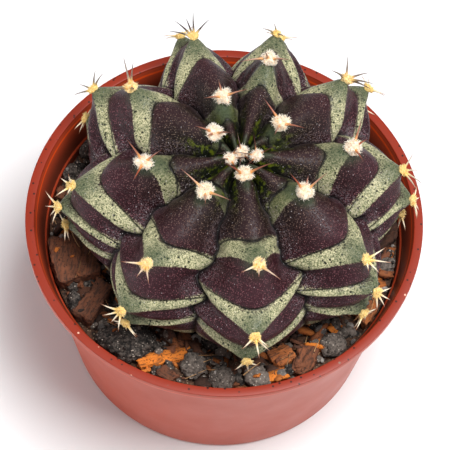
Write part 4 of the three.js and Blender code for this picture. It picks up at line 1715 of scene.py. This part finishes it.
    def crumbs(self, ground: BVHTree, skin: BVHTree) -> dict[Chunk, BMesh]:
        """Scatter crumbs of each kind over the bed between the plant and the wall.

        Args:
            ground: The surface of the bed and of the larger pieces.
            skin: The surface of the plant.

        Returns:
            The crumbs by kind.
        """
        dice = random.Random(5)
        bundles = {kind: Bundle(self.grain_template(kind)) for kind in Chunk}
        least, most = self.crumb_size
        placed = 0
        while placed < self.crumb_count:
            turn = dice.uniform(0.0, FULL_TURN)
            radius = math.sqrt(dice.uniform(*(r ** 2 for r in self.crumb_ring)))
            size = least + (most - least) * dice.random() ** self.crumb_rarity
            x, y = radius * math.cos(turn), radius * math.sin(turn)
            kind = dice.choices(list(bundles), weights=tuple(CRUMB_SHARES.values()))[0]
            seed = Vector([dice.uniform(0.0, 50.0) for _ in range(3)])
            spin = Matrix.Rotation(dice.uniform(0.0, 6.28), 3, Vector(
                [dice.uniform(-1.0, 1.0) for _ in range(3)]))
            tone = dice.random()
            hit = self.ground_under(ground, x, y)
            if hit is None:
                continue
            lift = hit.z / MM - self.height(x, y)
            wall = self.pot.inner_radius(hit.z / MM) - self.clearance
            if lift > self.climb and (size > 1.0 or dice.random() < 0.8):
                continue
            if radius + self.crumb_grain * size > wall:
                continue
            centre = hit / MM + UP * (self.crumb_sink * size)
            near, _, _, gap = skin.find_nearest(centre * MM)
            if near is None or gap / MM < self.crumb_gap * size:
                continue
            stretch = self.crumb_stretch(kind, dice)

            def on_ground(local: Vector) -> Vector:
                """Return where a point of the grain lies on the ground, in metres."""
                dent = noise.noise(local * self.dent_scale + seed)
                shaped = spin @ Vector(local * stretch) * size * (1.0 + self.crumb_dents * dent)
                return MM * self.inside_wall(centre + shaped)

            bundles[kind].add(on_ground, {"tone": lambda co, t=tone: t})
            placed += 1
        return {kind: bundle.shape for kind, bundle in bundles.items()}

    def crumb_stretch(self, kind: Chunk, dice: random.Random) -> Vector:
        """Return how a crumb is drawn out along its own axes, as a vector to scale by.

        Args:
            kind: What the crumb is made of.
            dice: The source of its random numbers.

        Returns:
            What to scale each axis by.
        """
        spans = FLAKE_STRETCH if kind is Chunk.BARK else LUMP_STRETCH
        return Vector([dice.uniform(*span) for span in spans])

    def rootlets(self, ground: BVHTree) -> BMesh:
        """Lay fine dry roots and fibres on the bed.

        Args:
            ground: The surface of the bed and of the larger pieces.

        Returns:
            The fibres in one mesh.
        """
        dice = random.Random(23)
        bundle = Bundle(strand_template(5, 9, 0.5))
        for _ in range(self.rootlet_count):
            turn = dice.uniform(0.0, FULL_TURN)
            radius = dice.uniform(*self.rootlet_ring)
            hit = self.ground_under(ground, radius * math.cos(turn), radius * math.sin(turn))
            if hit is None:
                continue
            heading = turn + math.pi / 2.0 + dice.uniform(-0.9, 0.9)
            tilt = dice.uniform(*self.rootlet_tilt)
            aim = Vector((math.cos(heading), math.sin(heading), tilt)).normalized()
            length = dice.uniform(*self.rootlet_length)
            strand = Strand(hit / MM + UP * 0.15 - aim * (0.4 * length), aim,
                            aim.cross(UP).normalized(), length,
                            dice.uniform(*self.rootlet_width),
                            dice.uniform(-self.rootlet_bow, self.rootlet_bow))
            bundle.add(lambda co, s=strand: MM * self.inside_wall(s.place(co) / MM),
                       {"tone": lambda co, t=dice.random(): t})
        return bundle.shape

    def build(self, skin: BVHTree) -> None:
        """Build the bed, the larger pieces, the crumbs and the rootlets.

        Args:
            skin: The surface of the plant.
        """
        humus = RoughMineral("bark_humus", "#18100c", "#684834", "#b89e80", crystals=0.6,
                             relief=0.3)
        lava = RoughMineral("porous_lava", "#181412", "#7c7168", "#e0d2c2", crystals=0.8,
                            relief=0.5)
        quartz = RoughMineral("quartz_grit", "#5c5652", "#a49c94", "#e6e2dc", grit=0.9)
        root = RoughMineral("dry_rootlet", "#8a5f3c", "#c49a6a", "#e4cba0", grit=1.2)
        finishes = {
            Chunk.BARK: (PineBark().material(), "bark"),
            Chunk.LAVA: (lava.material(), "lava"),
            Chunk.PEBBLE: (quartz.material(), "pebble"),
        }
        ground = bmesh.new()
        for kind, (material, slot) in finishes.items():
            nodes = sorted(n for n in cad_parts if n.startswith(kind.value))
            for number, node in enumerate(nodes):
                mesh = self.chunk(node, kind, number)
                ground.from_mesh(mesh)
                finish_piece("fine_" + node, mesh, material, slot, [node])
        bed = to_mesh(self.bed(), "mix_bed")
        ground.from_mesh(bed)
        finish_piece("mix_bed", bed, humus.material(), "soil", ["soil"])
        surface = BVHTree.FromBMesh(ground)
        ground.free()
        for kind, crumbs in self.crumbs(surface, skin).items():
            name = kind.name.lower() + "_crumbs"
            finish_piece(name, to_mesh(crumbs, name), *finishes[kind])
        fibres = to_mesh(self.rootlets(surface), "rootlets")
        finish_piece("rootlets", fibres, root.material(), "soil")


# ---------------------------------------------------------------- studio


@dataclass(frozen=True)
class Softbox:
    """A square soft light: its name, its place and side in millimetres, its power in watts."""

    name: str
    place: tuple[float, float, float]
    size: float
    power: float

    def hang(self, target: Vector) -> None:
        """Hang the light so that it faces a target in millimetres.

        Args:
            target: What it is aimed at.
        """
        data = bpy.data.lights.new(self.name, "AREA")
        data.shape = "SQUARE"
        data.size = self.size * MM
        data.energy = self.power
        light = to_scene(self.name, data)
        light.location = Vector(self.place) * MM
        light.rotation_euler = (target - Vector(self.place)).to_track_quat("-Z", "Y").to_euler()


@dataclass
class Studio:
    """The pale floor, the soft lights and the camera of the photograph."""

    camera_place: tuple[float, float, float] = (0.21, -211.71, 416.95)
    elevation: float = 60.599
    roll: float = 3.429
    lens: float = 160.0
    sensor: float = 36.0
    near_clip: float = 10.0
    floor_size: float = 4000.0
    sky: float = 0.34
    sky_colour: str = "#f4f6fa"
    target: tuple[float, float, float] = (0.0, 0.0, 40.0)
    softboxes: tuple[Softbox, ...] = (
        Softbox("overhead_softbox", (180.0, -70.0, 690.0), 340.0, 5.8),
        Softbox("front_softbox", (-60.0, -600.0, 110.0), 420.0, 0.2),
        Softbox("left_softbox", (-620.0, -160.0, 40.0), 420.0, 2.4),
        Softbox("right_softbox", (620.0, -160.0, 40.0), 420.0, 0.8),
    )

    def build_camera(self) -> None:
        """Place the camera where the photograph was taken from."""
        rise = math.radians(self.elevation)
        back = Vector((0.0, -math.cos(rise), math.sin(rise)))
        up = Vector((0.0, math.sin(rise), math.cos(rise)))
        right = Vector((1.0, 0.0, 0.0))
        turn = math.radians(self.roll)
        local_x = math.cos(turn) * right + math.sin(turn) * up
        local_y = -math.sin(turn) * right + math.cos(turn) * up
        axes = Matrix((local_x, local_y, back)).transposed().to_4x4()
        data = bpy.data.cameras.new("photo_camera")
        data.lens = self.lens
        data.sensor_width = self.sensor
        data.clip_start = self.near_clip * MM
        camera = to_scene("photo_camera", data)
        camera.matrix_world = Matrix.Translation(Vector(self.camera_place) * MM) @ axes
        bpy.context.scene.camera = camera

    def build_floor(self) -> None:
        """Lay the pale floor under the pot."""
        sheet = bmesh.new()
        bmesh.ops.create_grid(sheet, x_segments=1, y_segments=1, size=0.5 * self.floor_size * MM)
        mesh = to_mesh(sheet, "studio_floor")
        mesh.materials.append(PaintedFloor().material())
        to_scene("studio_floor", mesh)

    def build_lights(self) -> None:
        """Set the pale surroundings and the softboxes."""
        world = bpy.data.worlds.new("pale_studio")
        world.use_nodes = True
        background = world.node_tree.nodes["Background"]
        background.inputs["Color"].default_value = linear(self.sky_colour)
        background.inputs["Strength"].default_value = self.sky
        bpy.context.scene.world = world
        for softbox in self.softboxes:
            softbox.hang(Vector(self.target))
        bpy.context.scene.view_settings.view_transform = "Standard"

    def build(self) -> None:
        """Build the camera, the floor and the lights."""
        self.build_camera()
        self.build_floor()
        self.build_lights()


def main() -> None:
    """Build the studio, the pot, the plant and the potting mix."""
    logging.basicConfig(level=logging.INFO, format="%(name)s: %(message)s")
    Studio().build()
    pot = NurseryPot()
    pot.build()
    plant = ChinCactus()
    skin = plant.build()
    PottingMix(pot, plant).build(skin)


if __name__ == "__main__":
    main()
